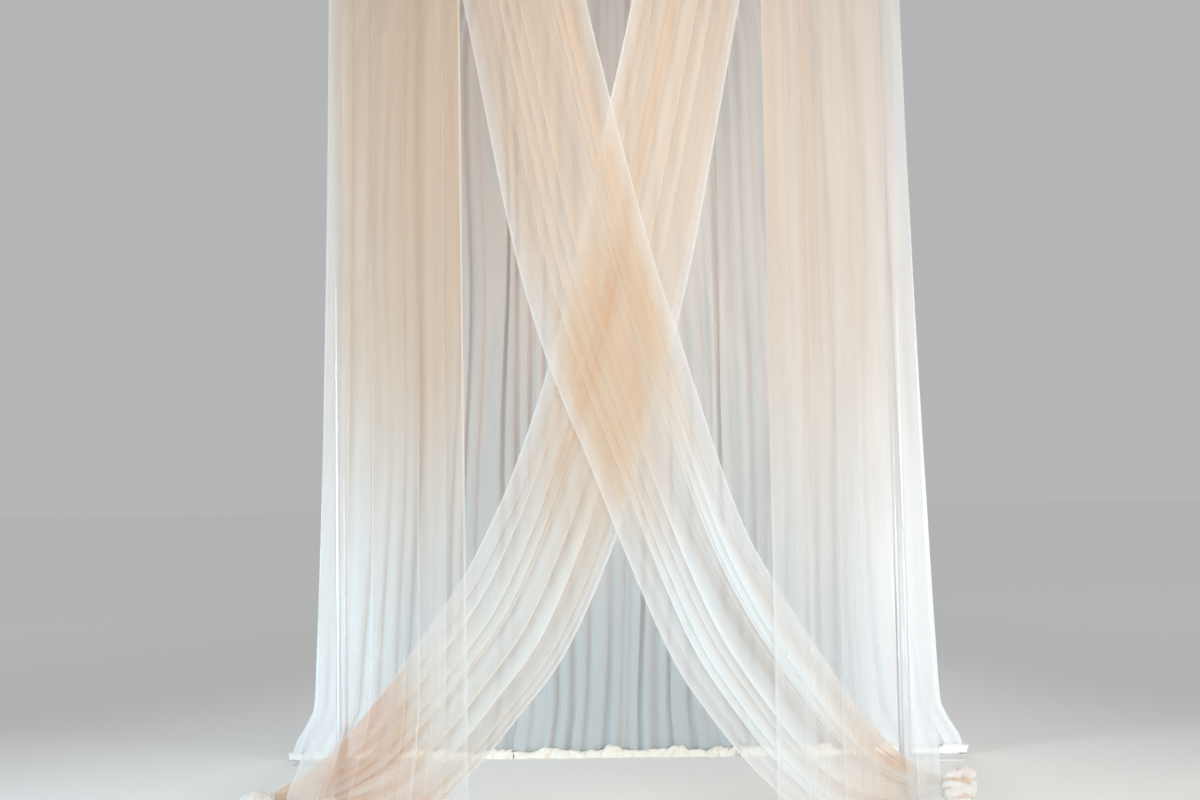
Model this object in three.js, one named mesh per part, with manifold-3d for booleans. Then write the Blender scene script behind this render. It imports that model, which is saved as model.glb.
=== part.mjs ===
// A wedding canopy (chuppah) of the pipe and drape kind, in millimetres.
// +Z is up, the floor is z = 0, the front faces -Y, and the origin is the middle of the plan.
// Four telescopic uprights stand on steel plates and carry four telescopic crossbars. A pleated
// curtain closes the back, two sheers hang beside the front, and two more cross there as an X,
// each drawn to the foot of the opposite front upright and tied. Two light cloths make the roof.
import * as THREE from 'three';
import Module from 'manifold-3d';
import { mergeVertices } from 'three/addons/utils/BufferGeometryUtils.js';

const wasm = await Module();
wasm.setup();

// Plan and height
const HEIGHT = 4572;
const DEPTH = 1829;
const FRONT_WIDTH = 2438;
const BACK_WIDTH = 3048;
const FRONT_Y = -DEPTH / 2;
const BACK_Y = DEPTH / 2;
const FIT = 0.3;
const TUBE_SIDES = 12;

// Uprights and their base plates
const PLATE_SIDE = 610;
const PLATE_THICKNESS = 6.35;
const PLATE_CORNER = 30;
const SPIGOT_HEIGHT = 200;
const LOWER_RADIUS = 25.4;
const LOWER_BORE = 23.4;
const LOWER_TOP = 2440;
const UPPER_RADIUS = 22.25;
const UPPER_BORE = 20.25;
const UPPER_OVERLAP = 400;
const COLLAR_RADIUS = 30;
const CROWN_RADIUS = 32;
const CROWN_HEIGHT = 45;
const CROWN_CAP = 17;
const SLOT_WIDTH = 12;
const SLOT_DEPTH = 12;

// Crossbars: a wide tube and the narrower one that slides in it
const BAR_DROP = 26;
const BAR_Z = HEIGHT - BAR_DROP;
const BAR_RADIUS = 22.2;
const BAR_WALL = 2;
const BAR_INNER_RADIUS = BAR_RADIUS - BAR_WALL - FIT;
const BAR_END_CLEARANCE = 36;
const TONGUE_THICKNESS = 5;
const SIDE_BAR_SKEW = Math.atan2((BACK_WIDTH - FRONT_WIDTH) / 2, DEPTH);

// How far along each crossbar its wide tube ends, and the narrow tube's reach into it, as shares
const BAR_TELESCOPE = {
  front: { mouth: 0.58, overlap: 0.16 },
  back: { mouth: 0.66, overlap: 0.16 },
  left: { mouth: 0.6, overlap: 0.2 },
  right: { mouth: 0.6, overlap: 0.2 },
};

// Cloth
const POCKET_RADIUS = 31;
const POCKET_FRONT = 26;
const POCKET_DROP = 12;
const SHEER_THICKNESS = 8;
const CURTAIN_THICKNESS = 10;
const CURTAIN_Y = BACK_Y - 65;
const SIDE_SHEER_Y = FRONT_Y - 72;
const HEM_TOP = 66;
const TIE_HEIGHT = 200;
const TIE_BAND_RADIUS = 33;

// Edges of the three back curtain panels: on the crossbar, just below it, in the slope down to the
// floor, and at the hem that spreads there
const PANEL_EDGES = {
  bar: [-1485, -497, 497, 1485],
  fall: [-1630, -543, 543, 1630],
  foot: [-1760, -590, 590, 1760],
  hem: [-1880, -627, 627, 1880],
};
const PANEL_GAP = 2;
const PANEL_FLARE = 300;

// Edges of the side sheers at the same places, as distances from the middle
const SIDE_SHEER_INNER = { bar: 845, fall: 665, foot: 660, hem: 660 };
const SIDE_SHEER_OUTER = {
  left: { bar: 1185, fall: 1262, foot: 1352, hem: 1490 },
  right: { bar: 1185, fall: 1262, foot: 1352, hem: 1362 },
};
const SIDE_SHEER_FLARE = 620;

// How far the two crossed sheers stand off the front crossbar's plane where they cross
const FRONT_SHEER_SHIFT = -20;
const REAR_SHEER_SHIFT = 16;

// The gathered neck at the end of each crossed sheer: its middle, as a distance from the middle of
// the plan and a height, and half its breadth
const NECK = { left: { x: 1515, z: 172 }, right: { x: 1375, z: 205 } };
const NECK_HALF = 40;

// Edges of the crossed sheers as [x, z] pairs, station by station from the front crossbar to the
// neck. The front sheer starts left of the middle and ends at the right foot.
const FRONT_SHEER = {
  lower: [[-830, 4540], [-640, 3600], [-450, 2600], [-302, 2070], [-119, 1600], [40, 1190],
    [225, 760], [402, 489], [593, 259], [800, 95], [1090, 62],
    [NECK.right.x, NECK.right.z - NECK_HALF]],
  upper: [[-280, 4540], [-90, 3600], [150, 2600], [300, 2100], [440, 1630], [560, 1300],
    [690, 1060], [850, 800], [985, 590], [1120, 420], [1245, 310],
    [NECK.right.x, NECK.right.z + NECK_HALF]],
};
const REAR_SHEER = {
  lower: [[765, 4540], [565, 3600], [365, 2600], [230, 2060], [95, 1620], [-20, 1260],
    [-234, 797], [-448, 516], [-650, 285], [-870, 110], [-1200, 55],
    [-NECK.left.x, NECK.left.z - NECK_HALF]],
  upper: [[275, 4540], [82, 3600], [-160, 2600], [-294, 2060], [-445, 1620], [-570, 1340],
    [-700, 1100], [-890, 830], [-1040, 635], [-1190, 460], [-1340, 320],
    [-NECK.left.x, NECK.left.z + NECK_HALF]],
};

const STEEL = { color: 0xe4e4e2, roughness: 0.5, metalness: 0.1 };
const ALUMINIUM = { color: 0xb9bcc0, roughness: 0.35, metalness: 0.9 };
const CAST = { color: 0xa9abae, roughness: 0.5, metalness: 0.8 };
const CURTAIN_CLOTH = { color: 0xd9d7dc, roughness: 0.9, metalness: 0 };
const HEM_CLOTH = { color: 0xe9e0d2, roughness: 0.9, metalness: 0 };
const SHEER_CLOTH = { color: 0xf1e7dc, roughness: 0.85, metalness: 0 };

const canopy = new THREE.Group();

// Signed volume of an indexed mesh, positive where the faces point out
function signedVolume(geometry) {
  const position = geometry.attributes.position;
  const index = geometry.index.array;
  const corners = [new THREE.Vector3(), new THREE.Vector3(), new THREE.Vector3()];
  let volume = 0;
  for (let i = 0; i < index.length; i += 3) {
    corners.forEach((corner, k) => corner.fromBufferAttribute(position, index[i + k]));
    volume += corners[0].dot(corners[1].clone().cross(corners[2])) / 6;
  }
  return volume;
}

// One closed mesh with shared corners and its faces pointing out
function closed(geometry) {
  const bare = geometry.index ? geometry.clone() : geometry;
  bare.deleteAttribute('normal');
  bare.deleteAttribute('uv');
  const merged = mergeVertices(bare, 1e-3);
  const kept = [];
  const index = merged.index.array;
  for (let i = 0; i < index.length; i += 3) {
    const [a, b, c] = [index[i], index[i + 1], index[i + 2]];
    if (a !== b && b !== c && c !== a) {
      kept.push(a, b, c);
    }
  }
  merged.setIndex(kept);
  if (signedVolume(merged) < 0) {
    for (let i = 0; i < kept.length; i += 3) {
      [kept[i + 1], kept[i + 2]] = [kept[i + 2], kept[i + 1]];
    }
    merged.setIndex(kept);
  }
  return merged;
}

function toManifold(geometry) {
  const mesh = closed(geometry);
  return new wasm.Manifold(new wasm.Mesh({
    numProp: 3,
    vertProperties: new Float32Array(mesh.attributes.position.array),
    triVerts: new Uint32Array(mesh.index.array),
  }));
}

function fromManifold(solid) {
  const mesh = solid.getMesh();
  const geometry = new THREE.BufferGeometry();
  geometry.setAttribute('position', new THREE.BufferAttribute(mesh.vertProperties, 3));
  geometry.setIndex(new THREE.BufferAttribute(mesh.triVerts, 1));
  return geometry;
}

function addPiece(name, geometry, finish) {
  const mesh = new THREE.Mesh(closed(geometry), new THREE.MeshStandardMaterial(finish));
  mesh.name = name;
  canopy.add(mesh);
  return mesh;
}

// A turned piece: an outline of [radius, height] pairs, turned about the line from start to end
function turned(outline, start, end, sides = TUBE_SIDES) {
  const points = outline.map(([radius, height]) => new THREE.Vector2(radius, height));
  const geometry = new THREE.LatheGeometry(points, sides);
  const direction = end.clone().sub(start).normalize();
  const up = new THREE.Vector3(0, 1, 0);
  geometry.applyQuaternion(new THREE.Quaternion().setFromUnitVectors(up, direction));
  return geometry.translate(start.x, start.y, start.z);
}

function tube(start, end, radius, bore) {
  const length = start.distanceTo(end);
  const outline = [[bore, 0], [radius, 0], [radius, length], [bore, length], [bore, 0]];
  return turned(outline, start, end);
}

function rod(start, end, radius, sides = TUBE_SIDES) {
  const length = start.distanceTo(end);
  return turned([[0, 0], [radius, 0], [radius, length], [0, length]], start, end, sides);
}

function lerp(a, b, t) {
  return a + (b - a) * t;
}

function smooth(t) {
  const s = Math.min(Math.max(t, 0), 1);
  return s * s * (3 - 2 * s);
}

// A closed mesh from a grid of rings: each ring is a closed loop, and the end rings are capped
function loft(rings) {
  const around = rings[0].length;
  const positions = rings.flat(2);
  const index = [];
  for (let i = 0; i < rings.length - 1; i += 1) {
    for (let j = 0; j < around; j += 1) {
      const next = (j + 1) % around;
      const a = i * around + j;
      const b = i * around + next;
      index.push(a, a + around, b, b, a + around, b + around);
    }
  }
  return { positions, index };
}

// Cloth as a thin solid: surface(u, v) gives its middle, thickness is measured along normal(u, v)
function clothSolid(surface, across, along, thickness, normal) {
  const rings = [];
  for (let j = 0; j <= along; j += 1) {
    const front = [];
    const back = [];
    for (let i = 0; i <= across; i += 1) {
      const u = i / across;
      const v = j / along;
      const middle = new THREE.Vector3(...surface(u, v));
      const step = normal(u, v).clone().multiplyScalar(thickness / 2);
      front.push(middle.clone().add(step).toArray());
      back.unshift(middle.clone().sub(step).toArray());
    }
    rings.push([...front, ...back]);
  }
  const { positions, index } = loft(rings);
  const around = rings[0].length;
  const last = (rings.length - 1) * around;
  for (let i = 0; i < across; i += 1) {
    const opposite = around - 1 - i;
    index.push(i, i + 1, opposite, i + 1, opposite - 1, opposite);
    index.push(last + i, last + opposite, last + i + 1);
    index.push(last + i + 1, last + opposite, last + opposite - 1);
  }
  const geometry = new THREE.BufferGeometry();
  geometry.setAttribute('position', new THREE.BufferAttribute(new Float32Array(positions), 3));
  geometry.setIndex(index);
  return geometry;
}

const alongY = () => new THREE.Vector3(0, 1, 0);

// A rolled or bunched form: closed rings about a path, each end drawn to a point
function bunch(rings, startPoint, endPoint) {
  const { positions, index } = loft(rings);
  const around = rings[0].length;
  const last = (rings.length - 1) * around;
  const startIndex = positions.length / 3;
  positions.push(...startPoint, ...endPoint);
  for (let j = 0; j < around; j += 1) {
    const next = (j + 1) % around;
    index.push(startIndex, j, next);
    index.push(startIndex + 1, last + next, last + j);
  }
  const geometry = new THREE.BufferGeometry();
  geometry.setAttribute('position', new THREE.BufferAttribute(new Float32Array(positions), 3));
  geometry.setIndex(index);
  return geometry;
}

// The four corners of the plan, with the names of their pieces
const corners = {
  front_left: new THREE.Vector3(-FRONT_WIDTH / 2, FRONT_Y, 0),
  front_right: new THREE.Vector3(FRONT_WIDTH / 2, FRONT_Y, 0),
  back_left: new THREE.Vector3(-BACK_WIDTH / 2, BACK_Y, 0),
  back_right: new THREE.Vector3(BACK_WIDTH / 2, BACK_Y, 0),
};

const raised = (point, z) => new THREE.Vector3(point.x, point.y, z);

// Square steel plate with rounded corners and the spigot that the upright drops over
function basePlate(corner) {
  const half = PLATE_SIDE / 2;
  const straight = half - PLATE_CORNER;
  const outline = new THREE.Shape();
  const quarter = Math.PI / 2;
  outline.absarc(straight, straight, PLATE_CORNER, 0, quarter);
  outline.absarc(-straight, straight, PLATE_CORNER, quarter, 2 * quarter);
  outline.absarc(-straight, -straight, PLATE_CORNER, 2 * quarter, 3 * quarter);
  outline.absarc(straight, -straight, PLATE_CORNER, 3 * quarter, 4 * quarter);
  const plate = new THREE.ExtrudeGeometry(outline, {
    depth: PLATE_THICKNESS, bevelEnabled: false, curveSegments: 3,
  });
  plate.translate(corner.x, corner.y, 0);
  const spigotFoot = raised(corner, PLATE_THICKNESS / 2);
  const spigotTop = raised(corner, PLATE_THICKNESS + SPIGOT_HEIGHT);
  const spigot = rod(spigotFoot, spigotTop, LOWER_BORE - FIT);
  return fromManifold(toManifold(plate).add(toManifold(spigot)));
}

// Slip lock: it sits on the lower tube's mouth and grips the upper tube
function collar(corner) {
  const skirt = 40;
  const grip = 30;
  const outside = LOWER_RADIUS + FIT;
  const inside = UPPER_RADIUS + FIT;
  const outline = [[outside, -skirt], [COLLAR_RADIUS, -skirt], [COLLAR_RADIUS, grip],
    [inside, grip], [inside, FIT], [outside, FIT], [outside, -skirt]];
  const body = turned(outline, raised(corner, LOWER_TOP), raised(corner, LOWER_TOP + grip));
  const button = { radius: 6, length: 16, sides: 8, height: 12, rooted: 2 };
  const buttonY = corner.y + COLLAR_RADIUS - button.rooted;
  const buttonStart = new THREE.Vector3(corner.x, buttonY, LOWER_TOP + button.height);
  const buttonEnd = buttonStart.clone().setY(buttonY + button.length);
  const peg = rod(buttonStart, buttonEnd, button.radius, button.sides);
  return fromManifold(toManifold(body).add(toManifold(peg)));
}

// Slotted head of an upright: four slots cross its cap, turned to face both of its crossbars
function crown(corner) {
  const bore = UPPER_RADIUS + FIT;
  const ceiling = CROWN_HEIGHT - CROWN_CAP;
  const outline = [[bore, 0], [CROWN_RADIUS, 0], [CROWN_RADIUS, CROWN_HEIGHT], [0, CROWN_HEIGHT],
    [0, ceiling], [bore, ceiling], [bore, 0]];
  const foot = raised(corner, HEIGHT - CROWN_HEIGHT);
  let solid = toManifold(turned(outline, foot, raised(corner, HEIGHT)));
  const past = 4;
  const slotReach = 2 * CROWN_RADIUS + past;
  const turn = -Math.sign(corner.x) * SIDE_BAR_SKEW / 2;
  for (const [alongX, acrossY] of [[slotReach, SLOT_WIDTH], [SLOT_WIDTH, slotReach]]) {
    const slot = new THREE.BoxGeometry(alongX, acrossY, 2 * SLOT_DEPTH);
    slot.rotateZ(turn);
    slot.translate(corner.x, corner.y, HEIGHT);
    solid = solid.subtract(toManifold(slot));
  }
  return fromManifold(solid);
}

function addUpright(name, corner) {
  addPiece(`base_plate_${name}`, basePlate(corner), STEEL);
  const lowerFoot = raised(corner, PLATE_THICKNESS + FIT);
  const lower = tube(lowerFoot, raised(corner, LOWER_TOP), LOWER_RADIUS, LOWER_BORE);
  addPiece(`lower_upright_${name}`, lower, ALUMINIUM);
  addPiece(`slip_lock_${name}`, collar(corner), CAST);
  const upperFoot = raised(corner, LOWER_TOP - UPPER_OVERLAP);
  const upperTop = raised(corner, HEIGHT - CROWN_CAP - FIT);
  addPiece(`upper_upright_${name}`, tube(upperFoot, upperTop, UPPER_RADIUS, UPPER_BORE), ALUMINIUM);
  addPiece(`crown_${name}`, crown(corner), CAST);
}

// One tube of a crossbar, with the plug and the tongue that lies in the crown's slot
function barTube(outerEnd, innerEnd, radius, bore) {
  const direction = innerEnd.clone().sub(outerEnd).normalize();
  const at = (distance) => outerEnd.clone().addScaledVector(direction, distance);
  const plugStart = at(BAR_END_CLEARANCE);
  const plugLength = 10;
  const plugRadius = bore + BAR_WALL / 2;
  const body = toManifold(tube(plugStart, innerEnd, radius, bore));
  const plug = toManifold(rod(plugStart, at(BAR_END_CLEARANCE + plugLength), plugRadius));
  const tongueStart = 14;
  const tongueSunk = 8;
  const tongueLength = BAR_END_CLEARANCE - tongueStart + plugLength / 2;
  const tongueTop = HEIGHT - tongueSunk;
  const tongueFoot = HEIGHT - SLOT_DEPTH + FIT;
  const tongue = new THREE.BoxGeometry(tongueLength, TONGUE_THICKNESS, tongueTop - tongueFoot);
  tongue.rotateZ(Math.atan2(direction.y, direction.x));
  const middle = at(tongueStart + tongueLength / 2);
  tongue.translate(middle.x, middle.y, (tongueTop + tongueFoot) / 2);
  return fromManifold(body.add(plug).add(toManifold(tongue)));
}

// A crossbar from one corner to another, its wide tube at the first
function addCrossbar(name, from, to) {
  const { mouth, overlap } = BAR_TELESCOPE[name];
  const start = raised(from, BAR_Z);
  const end = raised(to, BAR_Z);
  const mouthPoint = start.clone().lerp(end, mouth);
  const tailPoint = start.clone().lerp(end, mouth - overlap);
  const wide = barTube(start, mouthPoint, BAR_RADIUS, BAR_RADIUS - BAR_WALL);
  addPiece(`crossbar_${name}_outer_tube`, wide, ALUMINIUM);
  const narrow = barTube(end, tailPoint, BAR_INNER_RADIUS, BAR_INNER_RADIUS - BAR_WALL);
  addPiece(`crossbar_${name}_inner_tube`, narrow, ALUMINIUM);
}

// Adds a rod pocket round the crossbar to a hanging cloth, from x = left to x = right
function withPocket(cloth, left, right, barY, barRadius) {
  const start = new THREE.Vector3(left, barY, BAR_Z);
  const end = new THREE.Vector3(right, barY, BAR_Z);
  const past = new THREE.Vector3(10, 0, 0);
  const sleeve = toManifold(rod(start, end, POCKET_RADIUS));
  const bore = toManifold(rod(start.clone().sub(past), end.clone().add(past), barRadius + FIT));
  return fromManifold(toManifold(cloth).add(sleeve).subtract(bore));
}

// Where an edge of a hanging cloth lies at a height: it spreads below the crossbar, slopes outwards
// and flares out just above the floor
function hungEdge(edge, z, flareHeight) {
  const spreadRate = 8;
  const slopePower = 1.5;
  const fallen = (BAR_Z - z) / BAR_Z;
  const sloped = lerp(edge.fall, edge.foot, fallen ** slopePower);
  const flared = lerp(sloped, edge.hem, smooth(1 - z / flareHeight));
  return lerp(edge.bar, flared, smooth(fallen * spreadRate));
}

// How far a row of a hanging cloth is down its fall: the rows lie closer at both ends
function rowFall(v) {
  return lerp(v ** 2, 1 - (1 - v) ** 2, v);
}

function panelEdge(i, inset) {
  const places = Object.entries(PANEL_EDGES).map(([place, edges]) => [place, edges[i] + inset]);
  return Object.fromEntries(places);
}

// Pleated curtain panel between two edges
function curtainPanel(left, right, barRadius) {
  const pleats = 5;
  const columns = 4 * pleats;
  const rows = 12;
  const depth = 22;
  const settleRate = 10;
  const surface = (u, v) => {
    const fall = rowFall(v);
    const settled = smooth(fall * settleRate);
    const z = lerp(BAR_Z - POCKET_DROP, HEM_TOP, fall);
    const x = lerp(hungEdge(left, z, PANEL_FLARE), hungEdge(right, z, PANEL_FLARE), u);
    const fold = depth * Math.cos(2 * Math.PI * pleats * u) * settled;
    return [x, lerp(BACK_Y - POCKET_FRONT, CURTAIN_Y, settled) + fold, z];
  };
  const cloth = clothSolid(surface, columns, rows, CURTAIN_THICKNESS, alongY);
  return withPocket(cloth, left.bar, right.bar, BACK_Y, barRadius);
}

// Crumpled hem of a curtain panel, lying on the floor or on the base plates
function hemRoll(left, right) {
  const steps = 16;
  const sides = 8;
  const reach = 50;
  const forward = 8;
  const ripple = 3;
  const rippleLength = 31;
  const plateInner = (BACK_WIDTH - PLATE_SIDE) / 2;
  const onPlate = Math.max(Math.abs(left), Math.abs(right)) > plateInner;
  const lift = onPlate ? PLATE_THICKNESS + FIT : 0;
  const rings = [];
  for (let i = 0; i <= steps; i += 1) {
    const x = lerp(left, right, i / steps);
    const wander = 9 * Math.sin(x / 47) + 5 * Math.sin(x / 19);
    const height = HEM_TOP - FIT - ripple * (1 - Math.sin(x / rippleLength));
    const ring = [];
    for (let j = 0; j < sides; j += 1) {
      const angle = (j / sides + 1 / (2 * sides)) * 2 * Math.PI;
      const out = reach + wander * Math.max(0, -Math.cos(angle));
      const y = CURTAIN_Y - forward + out * Math.cos(angle);
      const rise = height * Math.min(1, Math.max(0, 1.3 * Math.sin(angle)));
      ring.push([x, y, Math.max(rise, lift)]);
    }
    rings.push(ring);
  }
  const middleHeight = 0.4 * HEM_TOP;
  const tip = 14;
  return bunch(rings, [left - tip * Math.sign(right - left), CURTAIN_Y, middleHeight],
    [right + tip * Math.sign(right - left), CURTAIN_Y, middleHeight]);
}

// Sheer that hangs straight beside the front, in front of its upright; side is -1 or 1
function sideSheer(side, outer, barRadius) {
  const pleats = 5;
  const columns = 4 * pleats;
  const rows = 12;
  const depth = 15;
  const settleRate = 14;
  const inner = SIDE_SHEER_INNER;
  const footZ = PLATE_THICKNESS + FIT;
  const surface = (u, v) => {
    const fall = rowFall(v);
    const settled = smooth(fall * settleRate);
    const z = lerp(BAR_Z - POCKET_DROP, footZ, fall);
    const x = lerp(hungEdge(inner, z, SIDE_SHEER_FLARE), hungEdge(outer, z, SIDE_SHEER_FLARE), u);
    const fold = depth * Math.cos(2 * Math.PI * pleats * u) * settled;
    return [side * x, lerp(FRONT_Y - POCKET_FRONT, SIDE_SHEER_Y, settled) + fold, z];
  };
  const cloth = clothSolid(surface, columns, rows, SHEER_THICKNESS, alongY);
  const ends = [side * inner.bar, side * outer.bar].sort((a, b) => a - b);
  return withPocket(cloth, ends[0], ends[1], FRONT_Y, barRadius);
}

// One of the crossed sheers: a band between two edge curves, drawn to a neck at the tie
function crossedSheer(stations, waistShift, barRadius) {
  const curve = (points) => new THREE.CatmullRomCurve3(points.map(([x, z]) => new THREE.Vector3(x, 0, z)));
  const lower = curve(stations.lower);
  const upper = curve(stations.upper);
  const folds = 3;
  const columns = 4 * folds;
  const rows = 18;
  const depth = 7;
  const shiftRate = 5;
  const foldRate = 12;
  const gather = { from: 0.5, to: 0.85 };
  const neckY = FRONT_Y - TIE_BAND_RADIUS - FIT - SHEER_THICKNESS / 2;
  const surface = (u, v) => {
    const point = lower.getPoint(v).lerp(upper.getPoint(v), u);
    const gathered = smooth((v - gather.from) / (gather.to - gather.from));
    const hung = FRONT_Y + waistShift * smooth(v * shiftRate);
    const fold = depth * Math.cos(2 * Math.PI * folds * u) * smooth(v * foldRate) * (1 - gathered);
    return [point.x, lerp(hung + fold, neckY, gathered), point.z];
  };
  const cloth = clothSolid(surface, columns, rows, SHEER_THICKNESS, alongY);
  const ends = [stations.lower[0][0], stations.upper[0][0]].sort((a, b) => a - b);
  return withPocket(cloth, ends[0], ends[1], FRONT_Y, barRadius);
}

// The puffed tail beyond the neck
function rosette(side, neck) {
  const steps = 6;
  const sides = 12;
  const start = neck.x + FIT;
  const length = 155;
  const radius = 72;
  const bluntness = 0.6;
  const lobes = 4;
  const lobeDepth = 0.12;
  const y = FRONT_Y - TIE_BAND_RADIUS - SHEER_THICKNESS / 2;
  const rings = [];
  for (let i = 0; i < steps; i += 1) {
    const share = (i + 0.5) / steps;
    const swell = radius * Math.sin(Math.PI * share) ** bluntness;
    const ring = [];
    for (let j = 0; j < sides; j += 1) {
      const angle = (j / sides) * 2 * Math.PI;
      const lobe = swell * (1 + lobeDepth * Math.cos(lobes * angle));
      ring.push([side * (start + share * length), y + lobe * Math.cos(angle),
        neck.z + lobe * Math.sin(angle)]);
    }
    rings.push(ring);
  }
  return bunch(rings, [side * start, y, neck.z], [side * (start + length), y, neck.z]);
}

// Cord ring that ties a crossed sheer to the foot of its upright
function tieBand(corner) {
  const halfHeight = 18;
  const foot = raised(corner, TIE_HEIGHT - halfHeight);
  const head = raised(corner, TIE_HEIGHT + halfHeight);
  return tube(foot, head, TIE_BAND_RADIUS, LOWER_RADIUS + FIT);
}

// Half of the roof: it laps over the front and back pockets, lies near the side crossbar and sags
// more towards the middle
function roofCloth(side) {
  const sag = 330;
  const gap = 130;
  const lift = POCKET_RADIUS + 3 * FIT + SHEER_THICKNESS / 2;
  const overhang = 22;
  const crownInset = 45;
  const barDip = 8;
  const flat = 0.1;
  const sagEnd = 0.8;
  const overhangRate = 8;
  const wrap = 80 * Math.PI / 180;
  const wrapShare = 0.22;
  const columns = 7;
  const rows = 28;
  const path = (v, leaving) => {
    const fromEnd = Math.min(v, 1 - v);
    const end = v < 0.5 ? FRONT_Y : BACK_Y;
    const inward = v < 0.5 ? 1 : -1;
    if (fromEnd < wrapShare) {
      const angle = lerp(-wrap, leaving, fromEnd / wrapShare);
      return [end + inward * lift * Math.sin(angle), lift * Math.cos(angle)];
    }
    const share = (v - wrapShare) / (1 - 2 * wrapShare);
    const reach = DEPTH / 2 - lift * Math.sin(leaving);
    const drop = Math.tan(leaving) * 2 * reach * share * (1 - share);
    return [lerp(-reach, reach, share), lift * Math.cos(leaving) - drop];
  };
  const surface = (u, v) => {
    const depth = barDip + sag * smooth((u - flat) / (sagEnd - flat));
    const [y, rise] = path(v, Math.atan(4 * depth / DEPTH));
    const share = (y - FRONT_Y) / DEPTH;
    const barX = lerp(FRONT_WIDTH / 2, BACK_WIDTH / 2, share);
    const fromCrown = Math.min(share, 1 - share);
    const outerX = barX + lerp(-crownInset, overhang, smooth(overhangRate * fromCrown));
    return [side * lerp(outerX, gap, u), y, BAR_Z + rise];
  };
  const normal = (u, v) => {
    const step = 1e-3;
    const here = new THREE.Vector3(...surface(u, v));
    const ahead = v < 0.5 ? 1 : -1;
    const along = new THREE.Vector3(...surface(u, v + ahead * step)).sub(here).multiplyScalar(ahead);
    const inward = u < 0.5 ? 1 : -1;
    const across = new THREE.Vector3(...surface(u + inward * step, v)).sub(here).multiplyScalar(inward);
    return across.cross(along).normalize();
  };
  return clothSolid(surface, columns, rows, SHEER_THICKNESS, normal);
}

for (const [name, corner] of Object.entries(corners)) {
  addUpright(name, corner);
}

addCrossbar('front', corners.front_left, corners.front_right);
addCrossbar('back', corners.back_left, corners.back_right);
addCrossbar('left', corners.front_left, corners.back_left);
addCrossbar('right', corners.front_right, corners.back_right);

['left', 'centre', 'right'].forEach((side, i) => {
  const barRadius = side === 'right' ? BAR_INNER_RADIUS : BAR_RADIUS;
  const inset = PANEL_GAP / 2;
  const panel = curtainPanel(panelEdge(i, inset), panelEdge(i + 1, -inset), barRadius);
  addPiece(`back_curtain_${side}`, panel, CURTAIN_CLOTH);
  const hemInset = 17;
  const roll = hemRoll(panelEdge(i, hemInset).hem, panelEdge(i + 1, -hemInset).hem);
  addPiece(`back_hem_${side}`, roll, HEM_CLOTH);
});

const frontSheer = crossedSheer(FRONT_SHEER, FRONT_SHEER_SHIFT, BAR_RADIUS);
const rearSheer = crossedSheer(REAR_SHEER, REAR_SHEER_SHIFT, BAR_INNER_RADIUS);
const sideSheers = {
  left: sideSheer(-1, SIDE_SHEER_OUTER.left, BAR_RADIUS),
  right: sideSheer(1, SIDE_SHEER_OUTER.right, BAR_INNER_RADIUS),
};
addPiece('crossed_sheer_front', frontSheer, SHEER_CLOTH);
addPiece('crossed_sheer_rear', rearSheer, SHEER_CLOTH);
for (const [name, side] of [['left', -1], ['right', 1]]) {
  addPiece(`side_sheer_${name}`, sideSheers[name], SHEER_CLOTH);
  addPiece(`tie_band_${name}`, tieBand(corners[`front_${name}`]), SHEER_CLOTH);
  addPiece(`rosette_${name}`, rosette(side, NECK[name]), SHEER_CLOTH);
  addPiece(`roof_cloth_${name}`, roofCloth(side), SHEER_CLOTH);
}

export default canopy;
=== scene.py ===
# %% [markdown]
# A wedding canopy of the pipe and drape kind: sheer cloth over telescopic tubes.
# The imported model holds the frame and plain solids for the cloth. This script keeps every size
# from it and gives each piece its real surface. All lengths are in metres, +Z is up, and the
# canopy faces -Y.

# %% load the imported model
import math

import bpy
import numpy as np
from mathutils import Matrix, Vector


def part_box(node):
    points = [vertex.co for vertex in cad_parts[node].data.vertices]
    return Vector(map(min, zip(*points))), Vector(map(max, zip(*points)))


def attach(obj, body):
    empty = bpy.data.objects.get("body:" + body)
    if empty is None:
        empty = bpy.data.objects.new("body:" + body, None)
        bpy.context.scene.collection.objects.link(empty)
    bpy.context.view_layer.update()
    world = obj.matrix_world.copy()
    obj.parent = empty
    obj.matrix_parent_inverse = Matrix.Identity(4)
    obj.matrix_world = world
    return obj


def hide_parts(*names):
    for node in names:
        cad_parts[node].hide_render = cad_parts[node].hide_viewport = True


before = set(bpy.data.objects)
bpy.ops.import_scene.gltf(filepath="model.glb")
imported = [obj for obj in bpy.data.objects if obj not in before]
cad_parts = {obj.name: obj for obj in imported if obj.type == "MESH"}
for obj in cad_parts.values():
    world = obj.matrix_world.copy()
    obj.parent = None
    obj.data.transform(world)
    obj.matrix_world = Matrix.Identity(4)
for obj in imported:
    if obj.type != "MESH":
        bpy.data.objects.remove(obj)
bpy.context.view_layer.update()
BODY = "root"

# %% [markdown]
# The camera comes first, because every later choice is judged through it. The photo was taken
# about seven metres from the middle of the canopy, with a lens of normal length that was held at
# shoulder height and tilted up a little. The same place, tilt and slight roll are named values
# here, so the view can be changed without hunting for numbers.

# %% camera
CAMERA_PLACE = Vector((0.08, -7.055, 1.555))
CAMERA_LENS_MM = 42.0
CAMERA_TILT = math.radians(3.13)
CAMERA_TURN = math.radians(1.42)
CAMERA_ROLL = 0.0158

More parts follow.
